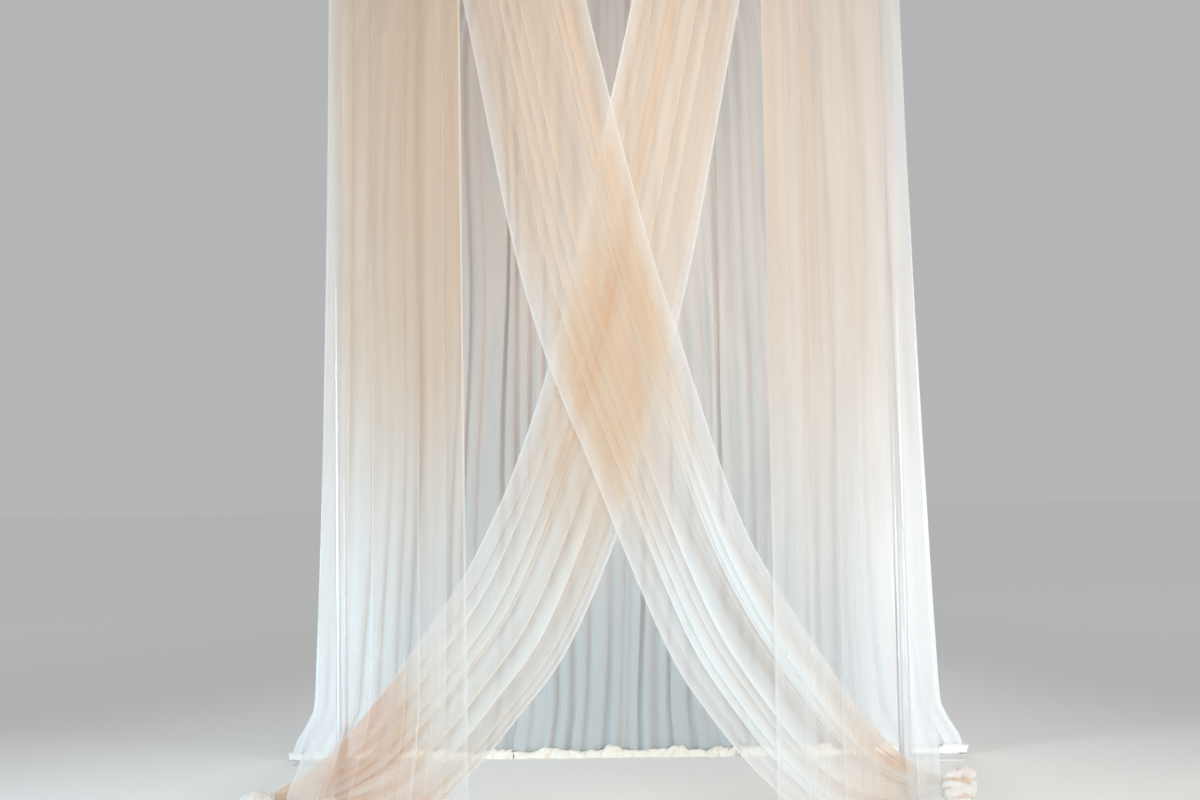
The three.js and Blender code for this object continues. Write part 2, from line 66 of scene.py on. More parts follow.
camera_data = bpy.data.cameras.new("camera")
camera_data.lens = CAMERA_LENS_MM
camera = bpy.data.objects.new("camera", camera_data)
bpy.context.scene.collection.objects.link(camera)
turned_left = Matrix.Rotation(CAMERA_TURN, 4, "Z")
tilted_up = Matrix.Rotation(math.pi / 2 + CAMERA_TILT, 4, "X")
rolled = Matrix.Rotation(-CAMERA_ROLL, 4, "Z")
camera.matrix_world = Matrix.Translation(CAMERA_PLACE) @ turned_left @ tilted_up @ rolled
bpy.context.scene.camera = camera
print("camera at", tuple(round(x, 3) for x in CAMERA_PLACE))

# %% [markdown]
# A material is a tree of small nodes: one gives a place, one a noise, one bends a value and one
# mixes two colours. Building such a tree by hand fills pages, so one helper here makes any node
# and fills its sockets, and a short one for each common kind makes every material after it read
# as a list of what it does.

# %% shader helpers
# A Mix node has a pair of inputs for each kind of value: these are the two for colours, and the
# output that gives their mix
MIX_FIRST = 6
MIX_SECOND = 7
MIX_RESULT = 2


def new_material(name):
    material = bpy.data.materials.new(name)
    material.use_nodes = True
    material.node_tree.nodes.clear()
    return material, material.node_tree


def node(tree, kind, sockets, **settings):
    """A node with its settings; each socket gets a number, a colour or another node's output."""
    made = tree.nodes.new(kind)
    for setting, value in settings.items():
        setattr(made, setting, value)
    for socket, value in sockets.items():
        if isinstance(value, bpy.types.NodeSocket):
            tree.links.new(value, made.inputs[socket])
        else:
            made.inputs[socket].default_value = value
    return made.outputs


def map_range(tree, source, low, high, to_low=0.0, to_high=1.0, kind="SMOOTHSTEP"):
    sockets = {"Value": source, "From Min": low, "From Max": high, "To Min": to_low, "To Max": to_high}
    return node(tree, "ShaderNodeMapRange", sockets, interpolation_type=kind)["Result"]


def mix_colour(tree, factor, first, second):
    sockets = {"Factor": factor, MIX_FIRST: first, MIX_SECOND: second}
    return node(tree, "ShaderNodeMix", sockets, data_type="RGBA")[MIX_RESULT]


def combine(tree, operation, first, second):
    return node(tree, "ShaderNodeMath", {0: first, 1: second}, operation=operation)["Value"]


def stretched_noise(tree, coordinate, scale, detail=3.0):
    mapped = node(tree, "ShaderNodeMapping", {"Vector": coordinate, "Scale": scale})["Vector"]
    return node(tree, "ShaderNodeTexNoise", {"Vector": mapped, "Scale": 1.0, "Detail": detail})["Fac"]


def bump(tree, height, strength, distance):
    sockets = {"Height": height, "Strength": strength, "Distance": distance}
    return node(tree, "ShaderNodeBump", sockets)["Normal"]


def object_place(tree):
    return node(tree, "ShaderNodeTexCoord", {})["Object"]


def object_xyz(tree):
    axes = node(tree, "ShaderNodeSeparateXYZ", {"Vector": object_place(tree)})
    return axes["X"], axes["Y"], axes["Z"]


def surface(tree, sockets):
    return node(tree, "ShaderNodeBsdfPrincipled", sockets)["BSDF"]


def finish_material(tree, shader):
    node(tree, "ShaderNodeOutputMaterial", {"Surface": shader})


def darker(colour, share):
    return (*(share * channel for channel in colour[:3]), 1)


print("shader helpers ready")

# %% [markdown]
# The canopy stands on a plain pale floor. A flat square would end in a hard line at the horizon,
# so it is very large and its colour grows paler with the distance from the middle.

# %% floor
FLOOR_SIZE = 120.0
FLOOR_NEAR = (0.86, 0.855, 0.845, 1)
FLOOR_FAR = (0.97, 0.97, 0.97, 1)
# The distances from the middle between which the near colour turns into the far one
FLOOR_BLEND = (2.0, 10.0)
FLOOR_ROUGHNESS = 0.85

half_floor = FLOOR_SIZE / 2
floor_corners = [(x * half_floor, y * half_floor, 0) for x, y in ((-1, -1), (1, -1), (1, 1), (-1, 1))]
floor_mesh = bpy.data.meshes.new("floor")
floor_mesh.from_pydata(floor_corners, [], [(0, 1, 2, 3)])
floor = bpy.data.objects.new("floor", floor_mesh)
bpy.context.scene.collection.objects.link(floor)

floor_material, floor_tree = new_material("studio floor")
distance = node(floor_tree, "ShaderNodeVectorMath", {0: object_place(floor_tree)}, operation="LENGTH")
paler = map_range(floor_tree, distance["Value"], *FLOOR_BLEND, kind="LINEAR")
floor_colour = mix_colour(floor_tree, paler, FLOOR_NEAR, FLOOR_FAR)
floor_surface = surface(floor_tree, {"Base Color": floor_colour, "Roughness": FLOOR_ROUGHNESS})
finish_material(floor_tree, floor_surface)
floor_mesh.materials.append(floor_material)
print("floor side", FLOOR_SIZE)

# %% [markdown]
# Pale cloth reads by its folds and not by its colour, so the light comes from the sides. Two narrow
# lights there stand for daylight: they shine across the folds, and the left one is cooler. A big
# soft one in front fills the shadows and a weaker one shows the back. Two warm ones high up add to
# the upper cloth's warm tint, which is also painted into its colour, and an even grey surround shows
# through the sheers.

# %% lights
SURROUND_COLOUR = (0.55, 0.553, 0.56, 1)
SURROUND_STRENGTH = 0.84
# Each light: name, place, target, diameter, power in watts, colour and, if narrowed, its spread
LIGHTS = (
    ("front light", (2.0, -6.0, 1.2), (0, 0, 0.6), 4.0, 166, (1.0, 0.98, 0.95)),
    ("left daylight", (-6.6, -2.6, 1.7), (0, -0.3, 0.9), 2.4, 58, (0.66, 0.90, 1.0), 75),
    ("right daylight", (6.8, -2.4, 1.8), (0, -0.3, 1.1), 2.6, 36, (1.0, 0.98, 0.95), 75),
    ("behind", (0.5, 7.5, 2.2), (0, 0.9, 2.0), 3.0, 45, (1.0, 0.99, 0.97), 80),
    ("inner glow", (0.0, 0.15, 3.6), (0, -1.2, 2.5), 1.0, 12, (1.0, 0.72, 0.45)),
    ("upper glow", (0.6, -4.5, 4.8), (0, 0, 3.6), 3.0, 18, (1.0, 0.84, 0.66)),
)
# How many sheer layers a ray of light may pass
TRANSPARENT_LAYERS = 16


def area_light(name, place, target, size, power, colour, spread=180):
    """A round soft light; a spread under 180 degrees keeps it off the floor beside it."""
    data = bpy.data.lights.new(name, "AREA")
    data.shape = "DISK"
    data.size = size
    data.energy = power
    data.color = colour
    data.spread = math.radians(spread)
    light = bpy.data.objects.new(name, data)
    light.location = place
    aim = Vector(target) - Vector(place)
    light.rotation_euler = aim.to_track_quat("-Z", "Y").to_euler()
    bpy.context.scene.collection.objects.link(light)


for light_facts in LIGHTS:
    area_light(*light_facts)
world = bpy.data.worlds.new("studio")
world.use_nodes = True
background = world.node_tree.nodes["Background"]
background.inputs["Color"].default_value = SURROUND_COLOUR
background.inputs["Strength"].default_value = SURROUND_STRENGTH
bpy.context.scene.world = world
bpy.context.scene.view_settings.view_transform = "Standard"
bpy.context.scene.cycles.transparent_max_bounces = TRANSPARENT_LAYERS
print("lights", len(LIGHTS))

# %% [markdown]
# Voile and poly cloth are woven, so their streaks and threads run along the cloth and not along
# the world. Both materials draw them on a map in metres that goes with each sheet, and both read
# values that the sheet's points carry. These short helpers serve the two of them.


# %% cloth helpers
def cloth_noise(tree, scale, detail=3.0):
    """Noise drawn on the cloth: its scale goes across, then along the sheet, in each metre."""
    cloth_map = node(tree, "ShaderNodeUVMap", {}, uv_map="cloth")["UV"]
    return stretched_noise(tree, cloth_map, (*scale, 1), detail)


def cloth_value(tree, name):
    return node(tree, "ShaderNodeAttribute", {}, attribute_name=name)["Fac"]


print("cloth helpers ready")

# %% [markdown]
# The sheers are white voile, with light painted into its colour: cool white where daylight falls and
# a warm tint where warm light falls on it. One even colour would look like plastic film, because in
# a real fold the valley lies in shade and the ridge catches the daylight, so the valley gets a
# painted warmer shade and the ridge a painted cooler highlight. Where the cloth turns edge-on more
# thread lies in the way, and the fold line turns white, partly as a painted highlight. So the colour
# is mixed in steps, from the values that each point of the cloth carries.

# %% voile colours
FOLD_WHITE = (0.95, 0.96, 0.97, 1)
COOL_WHITE = (0.91, 0.935, 0.955, 1)
BEIGE = (0.72, 0.575, 0.44, 1)
PEACH = (0.82, 0.65, 0.48, 1)
SIENNA = (0.80, 0.41, 0.20, 1)
# How far a fold's painted shade and highlight and its cover swing and how much cover a crease adds,
# then the painted shade of its valley and the painted highlight of its ridge
SOFT_FOLDS = (0.2, 0.05, 0.25, (0.70, 0.68, 0.66, 1), (0.94, 0.96, 0.98, 1))
PUFF_FOLDS = (0.8, 0.10, 0.20, (0.86, 0.66, 0.50, 1), (0.97, 0.97, 0.96, 1))
DEEP_FOLDS = (0.9, 0.12, 0.45, (0.87, 0.75, 0.67, 1), (0.89, 0.97, 1.0, 1))
# Ridge values where the valley's painted shade fades out, the ridge's painted highlight fades in
# and the painted warm light lets go, and the share of that warm light that the strongest highlight
# would take away
VALLEY_FADE = (0.15, 0.5)
RIDGE_FADE = (0.5, 0.85)
RIDGE_COOLING = (0.5, 0.9)
COOLED_SHARE = 0.7
# At this warmth the cloth has its full painted warm light, and above it, it goes on to sienna
FULL_WARMTH = 0.6
# Crease values between which a fold turns white, partly from denser thread and partly as a painted
# highlight, how white it turns, and how much of that is left where the cloth is warmest
CREASE_FADE = (0.25, 0.85)
CREASE_WHITE = 0.75
WARM_CREASE = 0.3


def voile_colour(tree, cool, warm, folds):
    """Cool to warm by its painted warm light, with painted shade in the valleys, painted highlights on
    the ridges and white creases.
    """
    share, _, _, valley_shade, ridge_highlight = folds
    ridge, warmth, crease = (cloth_value(tree, name) for name in ("ridge", "warmth", "crease"))
    in_valley = map_range(tree, ridge, *VALLEY_FADE, share, 0.0)
    on_ridge = map_range(tree, ridge, *RIDGE_FADE, 0.0, share)
    colour = mix_colour(tree, in_valley, cool, valley_shade)
    colour = mix_colour(tree, on_ridge, colour, ridge_highlight)
    # The painted highlight on a ridge takes away part of the painted warm light
    kept = map_range(tree, ridge, *RIDGE_COOLING, 1.0, 1 - COOLED_SHARE * share)
    warmth = combine(tree, "MULTIPLY", warmth, kept)
    warmer = map_range(tree, warmth, 0.0, FULL_WARMTH, kind="LINEAR")
    warmest = map_range(tree, warmth, FULL_WARMTH, 1.0, kind="LINEAR")
    colour = mix_colour(tree, warmer, colour, warm)
    colour = mix_colour(tree, warmest, colour, SIENNA)
    # Creases turn white: partly denser thread, partly a painted highlight
    whiter = combine(tree, "MULTIPLY", map_range(tree, crease, *CREASE_FADE, 0.0, CREASE_WHITE),
                     map_range(tree, warmth, FULL_WARMTH, 1.0, 1.0, WARM_CREASE))
    return mix_colour(tree, whiter, colour, FOLD_WHITE)


print("voile colours ready")

# %% [markdown]
# Voile lets part of the light pass between its threads, and the threads scatter light forward as
# well as back. So the shader is a mix of see-through and of thread, and the thread is about half a
# diffuse surface and half a translucent one. The cover is the share of light that one layer stops.
# It grows in creases and on ridges and changes with height, as the gathers do, and faint streaks
# along the cloth make it uneven, as a loose weave is. Fine threads come from a shallow bump.

# %% sheer cloth
# Crease and ridge values between which the cover changes
COVER_CREASE = (0.25, 0.9)
COVER_RIDGE = (0.1, 0.9)
# Noise per metre across and along the cloth, and how far the streaks change the cover
VOILE_STREAKS = (16, 0.4)
VOILE_THREADS = (130, 1.5)
STREAK_SWING = 0.06
THREAD_BUMP = 0.12
THREAD_DEPTH = 0.002
# Most of a noise's values lie between these two
NOISE_RANGE = (0.3, 0.7)


def voile_cover(tree, covers, heights, folds):
    """Cover by height, with more in creases and on ridges, and uneven streaks."""
    _, cover_swing, crease_swing, _, _ = folds
    _, _, z = object_xyz(tree)
    by_height = map_range(tree, z, *heights, *covers)
    crease, ridge = cloth_value(tree, "crease"), cloth_value(tree, "ridge")
    in_creases = map_range(tree, crease, *COVER_CREASE, 0.0, crease_swing)
    streaks = cloth_noise(tree, VOILE_STREAKS, 1.0)
    uneven = map_range(tree, streaks, *NOISE_RANGE, -STREAK_SWING, STREAK_SWING)
    on_ridges = map_range(tree, ridge, *COVER_RIDGE, -cover_swing, cover_swing)
    more = combine(tree, "ADD", in_creases, combine(tree, "ADD", uneven, on_ridges))
    return combine(tree, "ADD", by_height, more)


def sheer_material(name, cool, warm, covers, heights, glow=0.5, folds=SOFT_FOLDS):
    """Voile; glow is the share of its thread that lets light through, and covers go by height."""
    material, tree = new_material(name)
    colour = voile_colour(tree, cool, warm, folds)
    threads = bump(tree, cloth_noise(tree, VOILE_THREADS, 1.0), THREAD_BUMP, THREAD_DEPTH)
    thread = surface(tree, {"Base Color": colour, "Normal": threads, "Roughness": 0.75,
                            "Sheen Weight": 0.2, "Sheen Roughness": 0.4})
    lit_through = node(tree, "ShaderNodeBsdfTranslucent", {"Color": colour})["BSDF"]
    cloth = node(tree, "ShaderNodeMixShader", {"Fac": glow, 1: thread, 2: lit_through})["Shader"]
    clear = node(tree, "ShaderNodeBsdfTransparent", {})["BSDF"]
    cover = voile_cover(tree, covers, heights, folds)
    seen = node(tree, "ShaderNodeMixShader", {"Fac": cover, 1: clear, 2: cloth})["Shader"]
    finish_material(tree, seen)
    return material


# Each voile: its cool and its warm colour, its covers low down and high up, and the two heights
side_voile = sheer_material("white voile", COOL_WHITE, BEIGE, (0.27, 0.68), (0.5, 2.1))
crossed_voiles = {
    "front": sheer_material("ivory voile in front", COOL_WHITE, PEACH, (0.55, 0.46), (0.6, 1.9),
                            glow=0.42, folds=DEEP_FOLDS),
    "rear": sheer_material("ivory voile behind", COOL_WHITE, PEACH, (0.55, 0.55), (0.6, 1.9),
                           glow=0.42, folds=DEEP_FOLDS),
}
roof_voile = sheer_material("roof voile", COOL_WHITE, BEIGE, (0.55, 0.55), (0.0, 1.0))
# The tails, puffs and bands are white voile: their peach is painted warm light and shade
tail_voile = sheer_material("tail voile with painted warm light", FOLD_WHITE, PEACH, (0.8, 0.8), (0.0, 1.0), glow=0.6,
                            folds=PUFF_FOLDS)
print("sheer materials", 3 + len(crossed_voiles))

# %% [markdown]
# The back curtain is a close poly weave that lets hardly any light through. Its light and shade are
# painted into its colour: a darker cool grey low down for shade and daylight, warm lamplight high up
# that is darker on the left, and painted side light that makes it whiter towards the sides. Faint
# clouds and threads keep it from looking like paint. The hem gets the same cloth in a paler cream,
# painted lighter for the light that falls on it at the floor, with the same whiter sides.

# %% opaque cloth
# Painted light and shade: the low grey is shade and cool daylight, the high pair warm lamplight, darker
# on the left, and the side colours side light; the hem's cream is painted paler for its light
CURTAIN_SHADED_LOW = (0.51, 0.54, 0.555, 1)
CURTAIN_LAMPLIT_HIGH = ((0.65, 0.57, 0.52, 1), (0.75, 0.70, 0.66, 1))
CURTAIN_SIDE_LIGHT = (0.86, 0.885, 0.91, 1)
HEM_CREAM = (0.88, 0.85, 0.78, 1)
HEM_SIDE_LIGHT = (0.93, 0.94, 0.95, 1)
# Places between which the painted light and shade turn: from left to right, and from low to high
TURN_ACROSS = (-0.9, 0.8)
TURN_UP = (0.2, 3.2)
# Clouds: noise per metre across and along, the noise between which they form, how strong they
# are at most, and the share of its light that a clouded colour keeps
CLOUDS = (6, 1)
CLOUD_RANGE = (0.35, 0.75)
CLOUD_SHARE = 0.4
CLOUD_DARK = 0.92
POLY_THREADS = (220, 5)
POLY_BUMP = 0.35
POLY_DEPTH = 0.0005


def curtain_material(name, low_colour, high_colours, side_light_colour, edge_from, edge_to):
    """Poly cloth: painted light and shade by height and from left to right, then painted side light,
    whiter far from the middle.
    """
    material, tree = new_material(name)
    x, _, z = object_xyz(tree)
    high = mix_colour(tree, map_range(tree, x, *TURN_ACROSS), *high_colours)
    colour = mix_colour(tree, map_range(tree, z, *TURN_UP), low_colour, high)
    aside = map_range(tree, combine(tree, "ABSOLUTE", x, 0.0), edge_from, edge_to)
    colour = mix_colour(tree, aside, colour, side_light_colour)
    cloudy = map_range(tree, cloth_noise(tree, CLOUDS), *CLOUD_RANGE, 0.0, CLOUD_SHARE)
    colour = mix_colour(tree, cloudy, colour, darker(low_colour, CLOUD_DARK))
    threads = bump(tree, cloth_noise(tree, POLY_THREADS), POLY_BUMP, POLY_DEPTH)
    finish_material(tree, surface(tree, {"Base Color": colour, "Normal": threads, "Roughness": 0.82,
                                         "Sheen Weight": 0.25, "Sheen Roughness": 0.5}))
    return material


curtain_cloth = curtain_material("grey curtain", CURTAIN_SHADED_LOW, CURTAIN_LAMPLIT_HIGH, CURTAIN_SIDE_LIGHT, 1.1, 1.6)
hem_cloth = curtain_material("cream hem", HEM_CREAM, (HEM_CREAM, HEM_CREAM), HEM_SIDE_LIGHT, 0.9, 1.6)
print("curtain materials ready")

# %% [markdown]
# The uprights and crossbars are drawn aluminium tube, the plates are powder coated steel and the
# locks are cast. Drawing leaves long fine lines in the metal, a casting has an even grain and a
# powder coat has a slight orange peel, so one helper takes the stretch of the noise.

# %% metal
ALUMINIUM = (0.72, 0.73, 0.75, 1)
CAST_GREY = (0.60, 0.61, 0.63, 1)
COAT_WHITE = (0.8, 0.8, 0.79, 1)
# Dull patches: noise per metre, the noise between which they end, and the share of its light that
# the metal keeps in them
PATCHES = (5, 5, 5)
PATCH_RANGE = (0.35, 0.7)
PATCH_DARK = 0.85
GRAIN_DETAIL = 6.0
GRAIN_BUMP = 0.3


def metal_material(name, colour, metallic, roughness, grain, depth):
    """Metal or coat with a grain: the noise's scale along X, Y and Z, and its depth."""
    material, tree = new_material(name)
    place = object_place(tree)
    fine = stretched_noise(tree, place, grain, GRAIN_DETAIL)
    patches = map_range(tree, stretched_noise(tree, place, PATCHES), *PATCH_RANGE)
    patched = mix_colour(tree, patches, darker(colour, PATCH_DARK), colour)
    rough = map_range(tree, fine, *NOISE_RANGE, roughness - 0.08, roughness + 0.1)
    grained = bump(tree, fine, GRAIN_BUMP, depth)
    finish_material(tree, surface(tree, {"Base Color": patched, "Metallic": metallic,
                                         "Roughness": rough, "Normal": grained}))
    return material


upright_metal = metal_material("upright tube", ALUMINIUM, 1.0, 0.34, (260, 260, 6), 2e-4)
bar_metal = metal_material("crossbar tube", ALUMINIUM, 1.0, 0.34, (30, 30, 260), 2e-4)
casting = metal_material("cast fitting", CAST_GREY, 0.9, 0.5, (180, 180, 180), 6e-4)
powder_coat = metal_material("powder coat", COAT_WHITE, 0.0, 0.5, (420, 420, 420), 4e-4)
print("metal materials ready")

# %% [markdown]
# A sheet of cloth is a grid of points. With numpy one function can place the whole grid at once.
# A map in real metres, measured along the cloth, goes with it, so that a streak drawn on it keeps
# its true scale over every fold. The same measuring gives the size the cloth was cut to.


# %% grids of points
def smooth(t):
    """A soft step from 0 to 1."""
    t = np.clip(t, 0, 1)
    return t * t * (3 - 2 * t)


def lerp(a, b, t):
    return a + (b - a) * t


def steps_across(points):
    return np.linalg.norm(np.diff(points, axis=1), axis=2)


def steps_along(points):
    return np.linalg.norm(np.diff(points, axis=0), axis=2)


def grid_map(points):
    """Metres across and along the cloth, for each point of a grid of rows and columns."""
    u = np.concatenate([[0], np.cumsum(steps_across(points).mean(axis=0))])
    v = np.concatenate([[0], np.cumsum(steps_along(points).mean(axis=1))])
    return np.stack(np.meshgrid(u, v), axis=-1)


def grid_normals(points):
    """Unit normals of a grid, from the directions of its rows and columns."""
    normal = np.cross(np.gradient(points, axis=1), np.gradient(points, axis=0))
    return normal / np.maximum(np.linalg.norm(normal, axis=2, keepdims=True), 1e-9)


def cloth_size(points):
    """The flat width and length of a grid, as means along its rows and columns."""
    width = steps_across(points).sum(axis=1).mean()
    length = steps_along(points).sum(axis=0).mean()
    return round(float(width), 2), round(float(length), 2)


print("grid helpers ready")

# %% [markdown]
# One helper turns any grid into a mesh, and stores three more values with each point for the
# materials. Crease tells how far the surface is turned edge-on to the sheet's own plane, warmth,
# from 0 to 1, how much painted warm light the cloth carries, and ridge where the point lies
# in its fold, from 0 in a valley to 1 on top.

# %% grids into meshes
# How far a turned hem lies off its cloth
HEM_GAP = 0.0008


def add_value(mesh, name, values):
    attribute = mesh.attributes.new(name, "FLOAT", "POINT")
    attribute.data.foreach_set("value", values.astype(np.float32))


def all_points(given, count, otherwise):
    """Values for every point: the given ones for the first points and one value for the rest."""
    values = np.full(count, float(otherwise))
    if given is not None:
        values[:given.size] = np.clip(given, 0, 1).ravel()
    return values


def mesh_from_grids(name, grids, material, closed_loops=False, facing=(0, 1, 0), warmth=None,
                    ridge=None):
    """One mesh from several grids; closed_loops joins each grid's last column to its first."""
    vertices, faces, maps, creases = [], [], [], []
    start = 0
    for points in grids:
        rows, columns = points.shape[:2]
        index = start + np.arange(rows * columns).reshape(rows, columns)
        here, beside = index[:, :-1], index[:, 1:]
        if closed_loops:
            here, beside = index, np.roll(index, -1, axis=1)
        quads = np.stack([here[:-1], beside[:-1], beside[1:], here[1:]], axis=-1)
        vertices.append(points.reshape(-1, 3))
        faces.append(quads.reshape(-1, 4))
        maps.append(grid_map(points).reshape(-1, 2))
        creases.append(1 - np.abs(grid_normals(points) @ np.array(facing)).ravel())
        start += rows * columns
    vertices, faces, maps, creases = map(np.concatenate, (vertices, faces, maps, creases))
    mesh = bpy.data.meshes.new(name)
    mesh.from_pydata(vertices.tolist(), [], faces.tolist())
    layer = mesh.uv_layers.new(name="cloth")
    layer.data.foreach_set("uv", maps[faces.reshape(-1)].astype(np.float32).ravel())
    add_value(mesh, "crease", creases)
    add_value(mesh, "warmth", all_points(warmth, len(vertices), 0))
    add_value(mesh, "ridge", all_points(ridge, len(vertices), 0.5))
    mesh.polygons.foreach_set("use_smooth", np.ones(len(faces), dtype=bool))
    mesh.materials.append(material)
    piece = bpy.data.objects.new(name, mesh)
    bpy.context.scene.collection.objects.link(piece)
    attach(piece, BODY)
    return piece


def hem_strips(points, columns):
    """The turned hems at both side edges: narrow second layers just off the cloth."""
    off = points + grid_normals(points) * HEM_GAP
    return [off[:, :columns], off[:, -columns:]]


print("mesh helpers ready")

# %% [markdown]
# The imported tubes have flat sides, which suits collision but not the eye. Each is remade round,
# from an outline turned about its line, with a small chamfer at its ends. The same helper makes
# the slip locks, the crowns and the crossbars.

# %% upright tubes
TURNED_SIDES = 48
SHARP_EDGE = math.radians(35)
CORNERS = ("front_left", "front_right", "back_left", "back_right")
# Each tube of an upright: its part, its radius and its bore's
UPRIGHT_TUBES = (("lower", 0.0254, 0.0234), ("upper", 0.02225, 0.02025))
TUBE_CHAMFER = 0.0006


def turned(name, outline, start, end, material, node_name, slot):
    """An outline of (radius, distance) points turned about the line from start to end."""
    angle = np.linspace(0, 2 * math.pi, TURNED_SIDES, endpoint=False)
    radius, distance = np.array(outline).T
    points = np.stack([
        radius[:, None] * np.cos(angle)[None, :],
        radius[:, None] * np.sin(angle)[None, :],
        np.broadcast_to(distance[:, None], (len(radius), TURNED_SIDES)),
    ], axis=-1)
    axis = (Vector(end) - Vector(start)).normalized()
    turn = np.array(axis.to_track_quat("Z", "Y").to_matrix())
    piece = mesh_from_grids(name, [points @ turn.T + np.array(start)], material, closed_loops=True)
    piece.data.set_sharp_from_angle(angle=SHARP_EDGE)
    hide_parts(node_name)
    return piece


def tube_outline(radius, bore, length):
    """A tube's wall, all round, with small chamfers at its two ends."""
    inner, outer = bore + TUBE_CHAMFER, radius - TUBE_CHAMFER
    low, high = TUBE_CHAMFER, length - TUBE_CHAMFER
    return [(bore, low), (inner, 0), (outer, 0), (radius, low), (radius, high), (outer, length),
            (inner, length), (bore, high), (bore, low)]


def middle(node_name):
    low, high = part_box(node_name)
    return (low + high) / 2


def upright_line(corner):
    """The place of an upright's middle line."""
    return middle(f"lower_upright_{corner}").xy


for corner in CORNERS:
    x, y = upright_line(corner)
    for part, radius, bore in UPRIGHT_TUBES:
        node_name = f"{part}_upright_{corner}"
        low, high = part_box(node_name)
        turned(f"{part}_tube_{corner}", tube_outline(radius, bore, high.z - low.z), (x, y, low.z),
               (x, y, high.z), upright_metal, node_name, "tube_aluminium")
print("upright tubes", len(UPRIGHT_TUBES) * len(CORNERS))

# %% [markdown]
# A slip lock is a cast collar: it sits on the mouth of the lower tube and grips the upper one with
# a spring button. Ribs round its skirt give the hand a hold. Ribs are only more points in the
# outline that is turned, so they cost one short loop.

# %% slip locks
LOCK_RADIUS = 0.030
LOCK_SKIRT = 0.040
LOCK_GRIP = 0.030
# The bore round the lower tube, and the one round the upper tube in the grip and in the crown
LOCK_BORE = 0.0257
UPPER_BORE = 0.02255
# Chamfers: the skirt's, and how far the top's goes in and down
LOCK_EDGE = 0.001
LOCK_TOP_EDGE = (0.003, 0.004)
RIBS = 5
RIBS_FROM = 0.006
RIB_PITCH = 0.0065
# A rib's own outline: how far each point lies inside the lock's radius and above the rib's foot
RIB = ((0.0014, 0), (0, 0.001), (0, 0.0035), (0.0014, 0.0045))


def lock_outline():
    """The collar's wall, all round: a ribbed skirt, then a plain grip round the upper tube."""
    top = LOCK_SKIRT + LOCK_GRIP
    ribs = [(LOCK_RADIUS - inside, RIBS_FROM + i * RIB_PITCH + height)
            for i in range(RIBS) for inside, height in RIB]
    return [(LOCK_BORE, 0), (LOCK_RADIUS - LOCK_EDGE, 0), (LOCK_RADIUS, LOCK_EDGE),
            (LOCK_RADIUS, RIBS_FROM - LOCK_EDGE), *ribs, (LOCK_RADIUS, LOCK_SKIRT - LOCK_EDGE),
            (LOCK_RADIUS, top - LOCK_TOP_EDGE[1]), (LOCK_RADIUS - LOCK_TOP_EDGE[0], top),
            (UPPER_BORE, top), (UPPER_BORE, LOCK_SKIRT), (LOCK_BORE, LOCK_SKIRT), (LOCK_BORE, 0)]


def slip_lock(corner):
    x, y = upright_line(corner)
    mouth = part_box(f"lower_upright_{corner}")[1].z
    turned(f"lock_{corner}", lock_outline(), (x, y, mouth - LOCK_SKIRT), (x, y, mouth), casting,
           f"slip_lock_{corner}", "lock_casting")


print("points in a lock's outline", len(lock_outline()))

# %% [markdown]
# The crown on top of each upright has two crossed slots, into which the hooked ends of the
# crossbars drop. A slot can't be turned, so it is cut: a plain block is placed where the slot goes
# and a boolean takes it out of the crown. The slots are turned by half the side bars' slant.

# %% crowns
CROWN_RADIUS = 0.032
CROWN_HEIGHT = 0.045
CROWN_CAP = 0.017
CROWN_EDGE = 0.001
CROWN_TOP_EDGE = 0.0025
# A turned solid's outline starts just off its middle line, because a point on it can't be turned
CORE = 0.0002
SLOT_WIDTH = 0.012
SLOT_LENGTH = 0.068
SLOT_HEIGHT = 0.024
# Half the angle between a side bar and the straight line to the back: 0.3048 m over 1.829 m
CROWN_TURN = math.atan2(0.3048, 1.829) / 2


def joined(piece, other, operation):
    """Adds or cuts another mesh, then takes that mesh away."""
    modifier = piece.modifiers.new(operation, "BOOLEAN")
    modifier.object = other
    modifier.operation = operation
    modifier.solver = "EXACT"
    evaluated = piece.evaluated_get(bpy.context.evaluated_depsgraph_get())
    shape = bpy.data.meshes.new_from_object(evaluated)
    piece.modifiers.clear()
    piece.data = shape
    bpy.data.objects.remove(other)
    shape.set_sharp_from_angle(angle=SHARP_EDGE)


def block(size, place, turn):
    """A plain block that joined() uses and takes away."""
    corners = [((i & 1) - 0.5, (i >> 1 & 1) - 0.5, (i >> 2 & 1) - 0.5) for i in range(8)]
    sides = [(0, 2, 3, 1), (4, 5, 7, 6), (0, 1, 5, 4), (2, 6, 7, 3), (0, 4, 6, 2), (1, 3, 7, 5)]
    mesh = bpy.data.meshes.new("block")
    matrix = Matrix.Translation(place) @ Matrix.Rotation(turn, 4, "Z") @ Matrix.Diagonal((*size, 1))
    mesh.from_pydata([tuple(matrix @ Vector(c)) for c in corners], [], sides)
    cutter = bpy.data.objects.new("block", mesh)
    bpy.context.scene.collection.objects.link(cutter)
    return cutter


def crown_outline():
    """The crown's half section: a cap with a skirt round the upper tube's mouth."""
    ceiling = CROWN_HEIGHT - CROWN_CAP
    return [(CORE, ceiling), (UPPER_BORE, ceiling), (UPPER_BORE, 0), (CROWN_RADIUS - CROWN_EDGE, 0),
            (CROWN_RADIUS, CROWN_EDGE), (CROWN_RADIUS, CROWN_HEIGHT - CROWN_TOP_EDGE),
            (CROWN_RADIUS - CROWN_TOP_EDGE, CROWN_HEIGHT), (CORE, CROWN_HEIGHT), (CORE, ceiling)]


